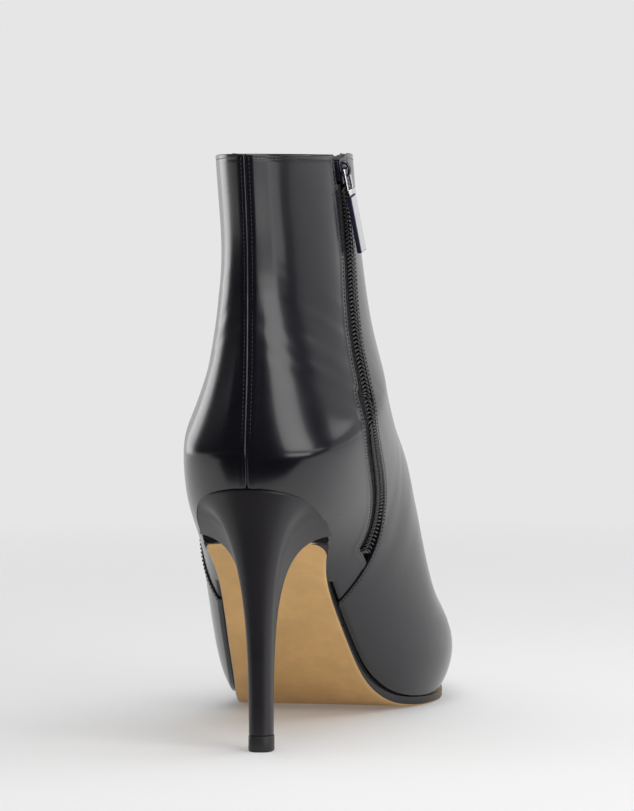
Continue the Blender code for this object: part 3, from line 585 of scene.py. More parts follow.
# The zip: its coil, tape, slider and bridge
TOOTH_WIRE = 0.00090
TOOTH_RISE = 0.00125
TOOTH_LIFT = 0.0003
TOOTH_SLANT = 0.42
TAPE_REACH = 0.0098
TAPE_DEPTHS = (0.0007, 0.0014)
SLIDER_SIZE = (0.0074, 0.0100, 0.0032)
SLIDER_CROWN = 0.0002
SLIDER_BELOW_TOP = 0.0058
BRIDGE_REACH = 0.0028
BRIDGE_RISE = 0.0025
BRIDGE_RADIUS = 0.00062
# Dark plates on the slider, a painted dark reflection: size, shift down the slider, and rise over its middle
PAINTED_REFLECTION_PLATES = (((0.0054, 0.0074, 0.0034), 0.0005, 0.0001), ((0.0077, 0.0078, 0.0020), -0.0004, 0))

# The pull: wire link, its grip, and the leather tab, with their places below the pin
LINK_HALF_WIDTH = 0.0026
LINK_LENGTH = 0.0086
LINK_BEND = 0.0004
LINK_RADIUS = 0.00058
GRIP_SIZE = (0.0068, 0.0024, 0.0019)
GRIP_PLACE = 0.0085
TAB_SIZE = (0.0058, 0.0220, 0.0018)
TAB_REFLECTION_CORE_SIZE = (0.0052, 0.0215, 0.0021)
TAB_PLACE = 0.0211

# Points closer than this are welded, and edges bent by more than this are rounded
WELD = 1e-6
SHARP_ANGLE = 1.0

# Rows of stitches, from their fold or seam, the groove they lie in, the reach over which their
# way is measured, and the folds of the panels
BACK_STITCHES = 0.0015
SLOT_STITCHES = 0.0016
SEAM_STITCHES = 0.0014
COLLAR_STITCHES = 0.0020
GROOVE = 0.0003
GROOVE_DEPTH = 0.00014
SEAM_GROOVE_DEPTH = 0.00016
BACK_SEAM_DEPTH = 0.00045
THREAD_SINK = 0.00002
LOOK_AHEAD = 0.0004
QUARTER_ROLL = (0.0024, 0.0015)
VAMP_ROLL = (0.0012, 0.0012)

# Rows and columns of the leather panels
PANEL_ROWS = 210
QUARTER_PATCH = 60
VAMP_PATCH = 70
EDGE_DISTANCES = (0.0, 0.00012, 0.00028, 0.0005, 0.0008, 0.0012, 0.0017, 0.0023, 0.0031)
SEAM_DISTANCES = (0.0, 0.00015, 0.0003, 0.0005, 0.0008, 0.0012, 0.0017, 0.0023, 0.0030, 0.0042)
END_DISTANCES = (0.0, 0.0002, 0.0005, 0.0009, 0.0014, 0.0021)
FOLD_RADIUS = 0.0006
FOLD_DEPTH = 0.0010
LINING_CLEARANCE = 0.0002

# Soft folds in the leather. section, turn: the middle; slant: degrees from the sections' way
# round; length, width: reach along and across the fold; depth: outwards if positive.
CREASE_COLUMNS = ("section", "turn", "slant", "length", "width", "depth")
CREASES = (
    (12.5, -0.22, 35, 0.016, 0.0024, -0.00010),
    (12.9, -0.18, 40, 0.014, 0.0022, -0.00009),
    (13.1, -0.30, 30, 0.014, 0.0024, 0.00010),
    (12.2, 0.20, -35, 0.018, 0.0028, -0.00009),
    (12.0, 0.34, -30, 0.016, 0.0026, -0.00010),
    (12.5, 0.38, -25, 0.014, 0.0024, 0.00008),
    (12.7, 0.12, -42, 0.014, 0.0024, -0.00008),
    (11.9, -0.36, 28, 0.018, 0.0030, -0.00010),
    (8.4, 0.62, 30, 0.026, 0.0045, -0.00014),
    (7.9, 0.66, 28, 0.028, 0.0050, 0.00012),
    (7.4, 0.70, 22, 0.026, 0.0045, -0.00012),
    (8.4, -0.62, -30, 0.026, 0.0045, -0.00014),
    (7.6, -0.68, -24, 0.028, 0.0048, -0.00012),
)


def at_shares(places, shares):
    """A path of (section, turn) rows, read at shares of its length."""
    places = np.asarray(places, float)
    run = travelled(surface(places[:, 0], places[:, 1]))
    return read_path(run[-1] * np.asarray(shares), run, places)


def length_of(places):
    points = surface(places[:, 0], places[:, 1])
    return float(np.linalg.norm(np.diff(points, axis=0), axis=1).sum())


def row_shares(stops):
    """Shares of the way up the side seam, packed close round each stop, in metres from the sole."""
    length = length_of(FRONT_SEAM)
    shares = set(np.linspace(0, 1, PANEL_ROWS))
    for stop in stops:
        for far in END_DISTANCES:
            for value in (stop - far, stop + far):
                share = value / length
                if 0 <= share <= 1:
                    shares.add(share)
    shares = np.array(sorted(shares))
    keep = np.concatenate([[True], np.diff(shares) > 0.00008 / length])
    keep[-1] = True
    return shares[keep]


def strip(path, distances):
    """Columns beside a path, at distances across the surface."""
    return np.stack([beside(path, far) for far in distances], 1)


def hold_ends(places):
    """Keeps the first row on the feather edge and the last on the collar."""
    places[0, :, 1] = np.maximum(feather_turn(places[0, :, 0]), 0)
    places[-1, :, 0] = LAST_SECTION
    return places


def zip_end():
    """Way up the side seam, in metres from the sole, at which the zip opens."""
    points = surface(QUARTER_EDGE[:, 0], QUARTER_EDGE[:, 1])
    row = int(np.argmax(points[:, 2] - points[0, 2] >= ZIP_END_ABOVE_SOLE))
    return length_of(FRONT_SEAM) * length_of(QUARTER_EDGE[:row + 1]) / length_of(QUARTER_EDGE)


ZIP_END = zip_end()
ROW_SHARES = row_shares((0.0, ZIP_END, length_of(FRONT_SEAM)))
ZIP_ROW = int(np.argmin(np.abs(ROW_SHARES * length_of(FRONT_SEAM) - ZIP_END)))
SEAM_ROWS = at_shares(FRONT_SEAM, ROW_SHARES)
EDGE_ROWS = at_shares(QUARTER_EDGE, ROW_SHARES)
BACK_PATH = [(s, 0) for s in np.linspace(SEAT_END, LAST_SECTION, 300)]
BACK_ROWS = at_shares(BACK_PATH, ROW_SHARES)


def collar_path(first_turn, last_turn, count):
    return at_shares([(LAST_SECTION, t) for t in np.linspace(first_turn, last_turn, 90)],
                     np.linspace(0, 1, count))


def quarter_places():
    """Places of a quarter from the back seam to under the front panel, and the slot's columns."""
    back = hold_ends(strip(BACK_ROWS, [-far for far in SEAM_DISTANCES]))
    edge = hold_ends(strip(EDGE_ROWS, EDGE_DISTANCES[::-1]))
    bottom = at_shares(feather_path(back[0, -1, 0], edge[0, 0, 0]), np.linspace(0, 1, QUARTER_PATCH))
    top = collar_path(back[-1, -1, 1], edge[-1, 0, 1], QUARTER_PATCH)
    bottom[0], bottom[-1] = back[0, -1], edge[0, 0]
    top[0], top[-1] = back[-1, -1], edge[-1, 0]
    middle = patch(back[:, -1], edge[:, 0], bottom, top)
    share = np.linspace(0, 1, 12)[None, :, None]
    under = hold_ends(strip(SEAM_ROWS, (-0.0012,)))
    slot = EDGE_ROWS[:, None] * (1 - share) + under * share
    places = np.concatenate([back, middle[:, 1:-1], edge, slot[:, 1:]], 1)
    return hold_ends(places), back.shape[1] + QUARTER_PATCH - 2 + edge.shape[1] - 1


def vamp_places():
    """Places of the front panel's medial half, from the side seam's fold to the ridge."""
    edge = hold_ends(strip(SEAM_ROWS, [-far for far in EDGE_DISTANCES]))
    tip_turn = feather_turn(0.0)[0]
    nose = [(0, t) for t in np.linspace(tip_turn, math.pi, 40, endpoint=False)]
    ridge_line = [(s, math.pi) for s in np.linspace(0, LAST_SECTION, 400)]
    ridge = at_shares(nose + ridge_line, ROW_SHARES**1.4)
    bottom = at_shares(feather_path(edge[0, -1, 0], 0.0), np.linspace(0, 1, VAMP_PATCH))
    top = collar_path(edge[-1, -1, 1], math.pi, VAMP_PATCH)
    bottom[0], bottom[-1] = edge[0, -1], ridge[0]
    top[0], top[-1] = edge[-1, -1], ridge[-1]
    middle = patch(edge[:, -1], ridge, bottom, top)
    return np.concatenate([edge[:, :-1], middle], 1)


def crease_field(section, turn):
    """Outward offset of the soft folds at each place."""
    points = surface(section, turn)
    total = np.zeros(points.shape[:-1])
    for row in CREASES:
        value = dict(zip(CREASE_COLUMNS, row))
        centre = surface(value["section"], value["turn"] * math.pi)
        up, round_ = slopes(value["section"], value["turn"] * math.pi)
        up = up / np.linalg.norm(up)
        round_ = round_ / np.linalg.norm(round_)
        slant = math.radians(value["slant"])
        way = round_ * math.cos(slant) + up * math.sin(slant)
        aside = up * math.cos(slant) - round_ * math.sin(slant)
        gap = points - centre
        along = gap @ way / value["length"]
        across = gap @ aside / value["width"]
        total += value["depth"] * np.exp(-along**2 - across**2)
    return total


def drape(points):
    """Slow unevenness of a lasted upper, in metres."""
    x, y, z = points[..., 0], points[..., 1], points[..., 2]
    wave = np.sin(70 * y + 38 * z + 1.3) * np.sin(46 * z - 30 * x + 0.4)
    return 0.00022 * wave + 0.00012 * np.sin(130 * z + 60 * x + 50 * y)


def run_along(points, axis):
    """Distance from the first and from the last row or column, in metres."""
    steps = np.linalg.norm(np.diff(points, axis=axis), axis=-1)
    zero = np.zeros_like(np.take(steps, [0], axis))
    run = np.concatenate([zero, np.cumsum(steps, axis=axis)], axis)
    return run, np.take(run, [-1], axis) - run


def rolled(distance, radius, depth):
    """How far a folded edge has dropped at a distance from its end."""
    share = np.clip(1 - distance / radius, 0, 1)
    return depth * (1 - np.sqrt(1 - share**2))


def tube_points(path, radii, sides):
    """Rows by columns of points round a path; the first and last column are the same."""
    path = np.asarray(path, float)
    run = np.gradient(path, axis=0)
    run /= np.linalg.norm(run, axis=1, keepdims=True)
    normal = np.cross(run[0], (0.3, 0.5, 0.81))
    turned = []
    for way in run:
        normal = normal - way * normal.dot(way)
        normal = normal / np.linalg.norm(normal)
        turned.append((normal, np.cross(way, normal)))
    angle = np.linspace(0, 2 * math.pi, sides + 1)
    radii = np.broadcast_to(radii, len(path))
    rows = []
    for centre, (n, b), radius in zip(path, turned, radii):
        rows.append(centre + radius * (np.cos(angle)[:, None] * n + np.sin(angle)[:, None] * b))
    return np.stack(rows)


def grid_shape(points, lengths=None):
    """A bmesh grid laid on rows by columns of points, with a UV map in metres."""
    rows, columns = points.shape[:2]
    shape = bmesh.new()
    uv = shape.loops.layers.uv.new("UVMap")
    bmesh.ops.create_grid(shape, x_segments=columns - 1, y_segments=rows - 1, size=0.5)
    if lengths is None:
        lengths = np.stack([run_along(points, 1)[0], run_along(points, 0)[0]], -1)
    shape.verts.ensure_lookup_table()
    for vert in shape.verts:
        j = round((vert.co.x + 0.5) * (columns - 1))
        i = round((vert.co.y + 0.5) * (rows - 1))
        for loop in vert.link_loops:
            loop[uv].uv = lengths[i, j]
        vert.co = points[i, j]
        vert.index = i * columns + j
    shape.verts.sort()
    return shape


def face_towards(shape, outside, inward=False):
    """Turns the faces so that their normals agree, over all, with a function of their places."""
    shape.normal_update()
    total = sum(face.normal.dot(outside(face.calc_center_median())) * face.calc_area()
                for face in shape.faces)
    if (total < 0) != inward:
        bmesh.ops.reverse_faces(shape, faces=shape.faces)


def settle(shape):
    bmesh.ops.remove_doubles(shape, verts=shape.verts, dist=WELD)
    bmesh.ops.dissolve_degenerate(shape, dist=WELD, edges=shape.edges)
    bmesh.ops.recalc_face_normals(shape, faces=shape.faces)
    if shape.calc_volume(signed=True) < 0:
        bmesh.ops.reverse_faces(shape, faces=shape.faces)


def close_holes(shape):
    """Fills the open ends of a shape and settles its normals."""
    bmesh.ops.holes_fill(shape, edges=[edge for edge in shape.edges if edge.is_boundary], sides=0)
    settle(shape)


def slab(first, second):
    """A closed sheet between two grids of points that face away from each other."""
    shape = grid_shape(np.concatenate([first, second[:, ::-1], first[:, :1]], 1))
    settle(shape)
    close_holes(shape)
    return shape


def tube(path, radius, sides, widen=1.0):
    """A closed rod along a path, widened across X."""
    shape = grid_shape(tube_points(path, radius, sides))
    bmesh.ops.remove_doubles(shape, verts=shape.verts, dist=WELD)
    if widen != 1:
        bmesh.ops.scale(shape, verts=shape.verts, vec=(widen, 1, 1))
    close_holes(shape)
    return shape


def block(size, centre=(0, 0, 0)):
    """A plain box."""
    shape = bmesh.new()
    bmesh.ops.create_cube(shape, size=1)
    bmesh.ops.scale(shape, verts=shape.verts, vec=size)
    bmesh.ops.translate(shape, verts=shape.verts, vec=centre)
    return shape


def rounded(shape, width, segments=3, edges=None):
    """The shape with its edges rounded."""
    bmesh.ops.bevel(shape, geom=edges or shape.edges, offset=width, affect="EDGES",
                    segments=segments, profile=0.5, material=-1)
    return shape


def sharp_edges(shape):
    return [edge for edge in shape.edges if edge.calc_face_angle(0) > SHARP_ANGLE]


def put(shape, place):
    """Carries a shape to its frame, with its normals outwards."""
    bmesh.ops.transform(shape, matrix=place, verts=shape.verts)
    bmesh.ops.recalc_face_normals(shape, faces=shape.faces)
    return shape


def finish_piece(name, shape, material, body="boot", replaces=(), sharp=40):
    """Makes an object of a bmesh, with its material, and lets it ride on its body."""
    mesh = bpy.data.meshes.new(name)
    shape.to_mesh(mesh)
    shape.free()
    mesh.shade_smooth()
    if sharp:
        mesh.set_sharp_from_angle(angle=math.radians(sharp))
    mesh.materials.append(material)
    piece = bpy.data.objects.new(name, mesh)
    bpy.context.scene.collection.objects.link(piece)
    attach(piece, body)
    if replaces:
        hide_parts(*replaces)
    return piece


def join_shapes(shapes):
    """One bmesh from several."""
    whole = bmesh.new()
    for shape in shapes:
        mesh = bpy.data.meshes.new("joined")
        shape.to_mesh(mesh)
        shape.free()
        whole.from_mesh(mesh)
        bpy.data.meshes.remove(mesh)
    return whole


def repeated(make, frames):
    """A bmesh with a copy of one small shape at each 4x4 frame."""
    shape = bmesh.new()
    make(shape)
    pattern = bpy.data.meshes.new("pattern")
    shape.to_mesh(pattern)
    shape.free()
    whole = bmesh.new()
    for place in frames:
        copy = pattern.copy()
        copy.transform(place)
        whole.from_mesh(copy)
        bpy.data.meshes.remove(copy)
    bpy.data.meshes.remove(pattern)
    return whole


# Ribs that a wave texture of scale 1 lays in a metre, nearly
WAVES_A_METRE = 3.2


def new_material(name):
    made = bpy.data.materials.new(name)
    made.use_nodes = True
    tree = made.node_tree
    return made, tree, tree.nodes["Principled BSDF"]


def node(tree, kind, inputs=None, **settings):
    made = tree.nodes.new(kind)
    for key, value in settings.items():
        setattr(made, key, value)
    for key, value in (inputs or {}).items():
        if isinstance(value, bpy.types.NodeSocket):
            tree.links.new(value, made.inputs[key])
        else:
            made.inputs[key].default_value = value
    return made


def coordinates(tree, scale=(1, 1, 1), source="Object"):
    place = node(tree, "ShaderNodeTexCoord")
    return node(tree, "ShaderNodeMapping", {"Vector": place.outputs[source], "Scale": scale}).outputs[0]


def noise(tree, vector, scale, detail=3.0, roughness=0.5):
    return node(tree, "ShaderNodeTexNoise", {"Vector": vector, "Scale": scale, "Detail": detail,
                                             "Roughness": roughness}).outputs["Fac"]


def spread(tree, value, low, high, from_low=0.3, from_high=0.7):
    """The value carried from one range to another."""
    return node(tree, "ShaderNodeMapRange", {"Value": value, "From Min": from_low,
                                             "From Max": from_high, "To Min": low,
                                             "To Max": high}).outputs[0]


def blend_colours(tree, factor, first, second):
    made = tree.nodes.new("ShaderNodeMix")
    made.data_type = "RGBA"
    tree.links.new(factor, made.inputs["Factor"])
    made.inputs[6].default_value = (*first, 1)
    made.inputs[7].default_value = (*second, 1)
    return made.outputs[2]


def bump(tree, height, strength, distance, normal=None):
    inputs = {"Height": height, "Strength": strength, "Distance": distance}
    if normal:
        inputs["Normal"] = normal
    return node(tree, "ShaderNodeBump", inputs).outputs[0]


def leather(name, dark, lighter, gloss, grain_scale, grain, coat):
    """Finished leather: fine grain, slow wrinkles, and a polish that varies a little."""
    made, tree, shader = new_material(name)
    light = tuple(c * lighter for c in dark)
    place = coordinates(tree)
    cloud = noise(tree, place, 38, 4)
    fine = noise(tree, place, grain_scale * 0.30, 3, 0.5)
    tree.links.new(blend_colours(tree, spread(tree, cloud, 0, 1), dark, light),
                   shader.inputs["Base Color"])
    tree.links.new(spread(tree, cloud, gloss - 0.02, gloss + 0.03), shader.inputs["Roughness"])
    wrinkles = bump(tree, noise(tree, place, 140, 3, 0.5), 0.20, grain * 3)
    tree.links.new(bump(tree, fine, 0.04, grain, wrinkles), shader.inputs["Normal"])
    shader.inputs["Specular IOR Level"].default_value = 0.55
    shader.inputs["Coat Weight"].default_value = coat
    shader.inputs["Coat Roughness"].default_value = 0.12
    return made


def sole_leather(name, colour):
    """Smooth vegetable-tanned sole: faint mottling, fibres along the shoe, and painted light and shade,
    lighter at the breast and darker towards the ball.
    """
    made, tree, shader = new_material(name)
    place = coordinates(tree)
    mottle = noise(tree, place, 55, 6, 0.65)
    fibre = noise(tree, coordinates(tree, (1, 0.25, 1)), 900, 3, 0.6)
    light = tuple(min(1, c * 1.10) for c in colour)
    dark = tuple(c * 0.86 for c in colour)
    skin = blend_colours(tree, spread(tree, mottle, 0, 1), dark, light)
    # Painted light and shade: the tread is lighter near the heel's breast and darker towards the ball, as
    # the light falls on it
    along = node(tree, "ShaderNodeSeparateXYZ", {0: place}).outputs["Y"]
    shade = spread(tree, along, 1.12, 0.80, 0.03, 0.15)
    painted_shading = node(tree, "ShaderNodeVectorMath", {0: skin, "Scale": shade}, operation="SCALE")
    tree.links.new(painted_shading.outputs[0], shader.inputs["Base Color"])
    tree.links.new(spread(tree, fibre, 0.40, 0.56), shader.inputs["Roughness"])
    coarse = bump(tree, mottle, 0.15, 0.0002)
    tree.links.new(bump(tree, fibre, 0.25, 0.00006, coarse), shader.inputs["Normal"])
    return made


def plain_noise_material(name, colour, gloss, metal, scale, depth):
    """Rubber, moulded plastic or metal: slight unevenness in gloss and surface."""
    made, tree, shader = new_material(name)
    place = coordinates(tree)
    grain = noise(tree, place, scale, 4)
    dark = tuple(c * 0.88 for c in colour)
    tree.links.new(blend_colours(tree, spread(tree, grain, 0, 1), dark, colour),
                   shader.inputs["Base Color"])
    tree.links.new(spread(tree, grain, gloss * 0.85, gloss * 1.2), shader.inputs["Roughness"])
    tree.links.new(bump(tree, grain, 0.3, depth), shader.inputs["Normal"])
    shader.inputs["Metallic"].default_value = metal
    return made


def woven(name, colour, pitch):
    """Woven tape, in ribs that follow the piece's own UV map."""
    made, tree, shader = new_material(name)
    place = coordinates(tree, source="UV")
    ribs = 1 / pitch / WAVES_A_METRE
    warp = node(tree, "ShaderNodeTexWave", {"Vector": place, "Scale": ribs})
    weft = node(tree, "ShaderNodeTexWave", {"Vector": place, "Scale": ribs}, bands_direction="Y")
    both = node(tree, "ShaderNodeMath", {0: warp.outputs["Fac"], 1: weft.outputs["Fac"]},
                operation="MULTIPLY")
    light = tuple(c * 1.9 for c in colour)
    tree.links.new(blend_colours(tree, both.outputs[0], colour, light), shader.inputs["Base Color"])
    tree.links.new(bump(tree, both.outputs[0], 0.6, pitch * 0.3), shader.inputs["Normal"])
    shader.inputs["Roughness"].default_value = 0.85
    shader.inputs["Sheen Weight"].default_value = 0.15
    return made


# Plain looks: material's name, colour, roughness, metallic, grain's scale and height
PLAIN_LOOKS = {
    "edge": ("edge_paint", (0.016, 0.016, 0.018), 0.32, 0, 300, 0.00005),
    "rubber": ("heel_rubber", (0.020, 0.020, 0.022), 0.5, 0, 1500, 0.00006),
    "thread": ("stitch_thread", (0.030, 0.030, 0.035), 0.42, 0, 3000, 0.00004),
    "coil": ("zip_coil", (0.014, 0.014, 0.016), 0.26, 0, 900, 0.00003),
    # Painted dark reflection: the slider's silver metal made dark, as it looks when it reflects the dark
    # room
    "gunmetal": ("gunmetal", (0.10, 0.10, 0.12), 0.2, 1, 500, 0.00003),
    "tab_side": ("tab_side", (0.020, 0.022, 0.055), 0.34, 0, 1400, 0.00025),
    # Painted reflection: light grey on the broad faces of the pull's leather tab
    "tab_face": ("tab_face", (0.58, 0.58, 0.60), 0.36, 0, 900, 0.00004),
    # Painted dark reflection: navy-black plates on the slider's face and sides
    "enamel": ("slider_enamel", (0.010, 0.011, 0.024), 0.16, 0, 700, 0.00002),
}
# Leathers: material's name, how much lighter its clouds are, roughness, grain's scale and
# height, and coat
LEATHERS = {
    "leather": ("upper_leather", 1.25, 0.25, 2600, 0.00005, 0.30),
    "heel": ("heel_leather", 1.2, 0.44, 2400, 0.00006, 0.06),
    "lining": ("lining_leather", 1.3, 0.62, 1900, 0.00008, 0.0),
}
FINISH = {}


def finishes():
    """The materials, made once from the colours in the panel."""
    if not FINISH:
        colours = bpy.context.scene.bootie_colours
        for key, look in LEATHERS.items():
            FINISH[key] = leather(look[0], tuple(getattr(colours, key)), *look[1:])
        FINISH["sole"] = sole_leather("sole_leather", tuple(colours.sole))
        for key, look in PLAIN_LOOKS.items():
            FINISH[key] = plain_noise_material(*look)
        FINISH["metal"] = plain_noise_material("slider_metal", tuple(colours.metal), 0.16, 1, 500,
                                               0.00003)
        FINISH["tape"] = woven("zip_fabric", (0.010, 0.010, 0.011), 0.0006)
    return FINISH


def upper_points(places, side, offset):
    return shell_point(places[..., 0], side * places[..., 1], offset)


def relief(places, side):
    section, turn = places[..., 0], side * places[..., 1]
    return crease_field(section, turn) + drape(surface(section, turn))


def groove(distance, middle, depth):
    """Offset of the shallow groove under a row of stitches."""
    return -depth * np.exp(-((distance - middle) / GROOVE) ** 2)


def quarter_offset(points, slot_column, slotted):
    """Offset of a quarter: back seam, folded zip edge, collar fold and lasting at the sole."""
    from_back = run_along(points, 1)[0]
    from_sole, from_top = run_along(points, 0)
    seam = groove(from_back, 0, BACK_SEAM_DEPTH)
    allowance = 0.00020 * ease(1 - (from_back - 0.0026) / 0.0016)
    offset = seam + allowance + groove(from_back, BACK_STITCHES, SEAM_GROOVE_DEPTH)
    offset -= rolled(from_top, FOLD_RADIUS, FOLD_DEPTH)
    offset -= rolled(from_sole, *QUARTER_ROLL)
    offset += groove(from_top, COLLAR_STITCHES, GROOVE_DEPTH)
    if slotted:
        far = from_back[:, slot_column][:, None] - from_back
        below = (ROW_SHARES[ZIP_ROW] - ROW_SHARES)[:, None] * length_of(FRONT_SEAM)
        gap = np.hypot(np.maximum(far, 0), np.maximum(below, 0))
        gap = np.where((far <= 0) & (below <= 0), 0, gap)
        offset -= rolled(gap, FOLD_RADIUS, FOLD_DEPTH)
        offset += 0.00016 * ease(1 - (gap - 0.0034) / 0.0006)
        offset += groove(gap, SLOT_STITCHES, GROOVE_DEPTH)
    return offset


def cut_slot(shape, columns, slot_column):
    """Deletes a quarter's faces in the zip's slot."""
    doomed = [face for face in shape.faces
              if min(vert.index // columns for vert in face.verts) >= ZIP_ROW
              and min(vert.index % columns for vert in face.verts) >= slot_column]
    bmesh.ops.delete(shape, geom=doomed, context="FACES")


def make_quarter(side, slotted):
    places, slot_column = quarter_places()
    base = surface(places[..., 0], side * places[..., 1])
    offset = quarter_offset(base, slot_column, slotted) + relief(places, side)
    points = upper_points(places, side, offset)
    shape = grid_shape(points)
    if slotted:
        cut_slot(shape, points.shape[1], slot_column)
    return shape


def make_vamp():
    places = vamp_places()
    halves = []
    for side in (-1, 1):
        base = surface(places[..., 0], side * places[..., 1])
        from_seam = run_along(base, 1)[0]
        from_sole, from_top = run_along(base, 0)
        drop = rolled(from_seam, FOLD_RADIUS, SEAM_STEP + FOLD_DEPTH * (side > 0) + 0.0002)
        offset = SEAM_STEP - drop + relief(places, side)
        offset += groove(from_seam, SEAM_STITCHES, SEAM_GROOVE_DEPTH)
        offset -= rolled(from_top, FOLD_RADIUS, FOLD_DEPTH)
        offset -= rolled(from_sole, *VAMP_ROLL)
        offset += groove(from_top, COLLAR_STITCHES, GROOVE_DEPTH)
        halves.append(upper_points(places, side, offset))
    return grid_shape(np.concatenate([halves[0], halves[1][:, -2::-1]], 1))


def lining_points(places, side, offset):
    """Points inside the upper, kept over the sole."""
    points = upper_points(places, side, offset)
    points[..., 2] = np.maximum(points[..., 2], sole_height(points[..., 1]) + LINING_CLEARANCE)
    return points


def make_lining():
    """The linings of both quarters and of the front panel."""
    places, slot_column = quarter_places()
    vamp = vamp_places()
    fold = WALL - FOLD_DEPTH
    shapes = []
    halves = []
    for side in (-1, 1):
        base = surface(places[..., 0], side * places[..., 1])
        from_top = run_along(base, 0)[1]
        offset = -WALL + rolled(from_top, FOLD_RADIUS, fold)
        if side > 0:
            from_back = run_along(base, 1)[0]
            far = from_back[:, slot_column][:, None] - from_back
            above = (ROW_SHARES >= ROW_SHARES[ZIP_ROW])[:, None]
            offset += rolled(np.maximum(far, 0), FOLD_RADIUS, fold) * above
        points = lining_points(places, side, offset)
        shape = grid_shape(points)
        if side > 0:
            cut_slot(shape, points.shape[1], slot_column)
        shapes.append(shape)
        base = surface(vamp[..., 0], side * vamp[..., 1])
        from_seam = run_along(base, 1)[0]
        from_top = run_along(base, 0)[1]
        offset = -WALL + rolled(from_top, FOLD_RADIUS, fold + SEAM_STEP)
        offset += rolled(from_seam, FOLD_RADIUS, fold) * (side > 0)
        halves.append(lining_points(vamp, side, offset))
    shapes.append(grid_shape(np.concatenate([halves[0], halves[1][:, -2::-1]], 1)))
    return shapes


def outward(point):
    """Roughly the way out of the shoe at a point on the upper."""
    middle_y = min(0.035 + max(0.0, 0.16 - point.z), 0.16)
    return Vector((point.x - 0.004, (point.y - middle_y) * 0.6, 0.0 if point.z > 0.13 else 0.01))


def stitch(shape, length, width):
    made = bmesh.ops.create_uvsphere(shape, u_segments=6, v_segments=4, radius=0.5)
    bmesh.ops.scale(shape, verts=made["verts"], vec=(length, width, width * 0.8))


def row_frames(places, side, pitch, lift, skip_start=0.0, skip_end=0.0):
    """A frame at each pitch along a path: X along it, Z out of the shoe."""
    section, turn = places[:, 0], side * places[:, 1]
    points = shell_point(section, turn, np.full(len(places), lift))
    out = normals(section, turn)
    run = travelled(points)
    frames = []
    for at in np.arange(skip_start, run[-1] - skip_end, pitch):
        centre, ahead, behind = (Vector(read_path(at + far, run, points))
                                 for far in (0, LOOK_AHEAD, -LOOK_AHEAD))
        up = Vector(read_path(at, run, out)).normalized()
        way = ahead - behind
        way = (way - up * way.dot(up)).normalized()
        turned = Matrix((way, up.cross(way), up)).transposed().to_4x4()
        frames.append(Matrix.Translation(centre) @ turned)
    return frames


def zip_middle():
    """The middle line of the zip as places, from the slot's end to the collar."""
    return (EDGE_ROWS[ZIP_ROW:] + SEAM_ROWS[ZIP_ROW:]) / 2


def length_field(name, description, default, least):
    """A length for the panel."""
    return FloatProperty(name=name, description=description, default=default, min=least,
                         unit="LENGTH")


def colour_field(name, description, default):
    """A colour for the panel."""
    return FloatVectorProperty(name=name, description=description, subtype="COLOR",
                               default=default, min=0, max=1)


class BootieSizes(PropertyGroup):
    stitch_pitch: length_field("Stitch pitch", "From one stitch to the next", 0.0016, 0.0005)
    stitch_length: length_field("Stitch length", "Thread that shows in a stitch", 0.00125, 0.0003)
    thread: length_field("Thread", "Thickness of the thread", 0.00046, 0.0001)
    seam_row: length_field("Seam row", "From a fold to its row of stitches", SEAM_STITCHES, 0.0005)
    collar_row: length_field("Collar row", "From the collar's edge to its stitches", COLLAR_STITCHES, 0.0005)
    tooth_pitch: length_field("Tooth pitch", "From one coil turn to the next", 0.00155, 0.0005)
    chain_width: length_field("Chain width", "Across both rows of the coil", 0.0074, 0.002)
    edge_paint: length_field("Edge paint", "Thickness of the painted sole edge", 0.00012, 0.00002)


class BootieColours(PropertyGroup):
    leather: colour_field("Leather", "Upper leather", (0.0048, 0.0050, 0.0085))
    heel: colour_field("Heel", "Heel cover", (0.017, 0.0145, 0.018))
    lining: colour_field("Lining", "Lining and sock", (0.014, 0.014, 0.015))
    sole: colour_field("Sole", "Sole leather", (0.70, 0.425, 0.165))
    metal: colour_field("Metal", "Slider and link", (0.78, 0.78, 0.79))
    floor: colour_field("Floor", "Studio floor", (0.79, 0.79, 0.79))


class BOOTIE_OT_upper(Operator):
    """Make the leather quarters, the front panel and the lining"""

    bl_idname = "bootie.upper"
    bl_label = "Upper"

    def execute(self, context):
        made = finishes()
        for name, shape in (("quarter_lateral", make_quarter(-1, False)),
                            ("quarter_medial", make_quarter(1, True)), ("vamp", make_vamp())):
            face_towards(shape, outward)
            finish_piece(name, shape, made["leather"], replaces=("upper",), sharp=60)
        lining = make_lining()
        for shape in lining:
            face_towards(shape, outward, inward=True)
        finish_piece("lining", join_shapes(lining), made["lining"], sharp=60)
        return {"FINISHED"}


class BOOTIE_OT_stitches(Operator):
    """Sew the rows of stitches along the seams, the zip and the collar"""

    bl_idname = "bootie.stitches"
    bl_label = "Stitches"

    def execute(self, context):
        sizes = context.scene.bootie_sizes
        pitch = sizes.stitch_pitch
        frames = []
        back = np.array(BACK_PATH)
        for side in (-1, 1):
            row = beside(back, -BACK_STITCHES)
            frames += row_frames(row, side, pitch, SEAM_GROOVE_DEPTH, 0.004, 0.0012)
            seam = beside(SEAM_ROWS, -sizes.seam_row)
            frames += row_frames(seam, side, pitch, SEAM_STEP - THREAD_SINK, 0.0012, 0.0012)
        edge = beside(EDGE_ROWS[ZIP_ROW:], SLOT_STITCHES)
        frames += row_frames(edge, 1, pitch, GROOVE_DEPTH, 0.0, 0.0012)
        drop = sizes.collar_row / length_of(FRONT_SEAM)
        down = int(np.argmin(np.abs(ROW_SHARES - (1 - drop))))
        quarter, slot_column = quarter_places()
        vamp = vamp_places()
        for side in (-1, 1):
            last = slot_column if side > 0 else len(quarter[0]) - 8
            frames += row_frames(quarter[down, 2:last], side, pitch, -THREAD_SINK, 0.001, 0.001)
            frames += row_frames(vamp[down], side, pitch, SEAM_STEP - THREAD_SINK, 0.003, 0.0)
        shape = repeated(lambda whole: stitch(whole, sizes.stitch_length, sizes.thread), frames)
        finish_piece("stitches", shape, finishes()["thread"], sharp=0)
        return {"FINISHED"}


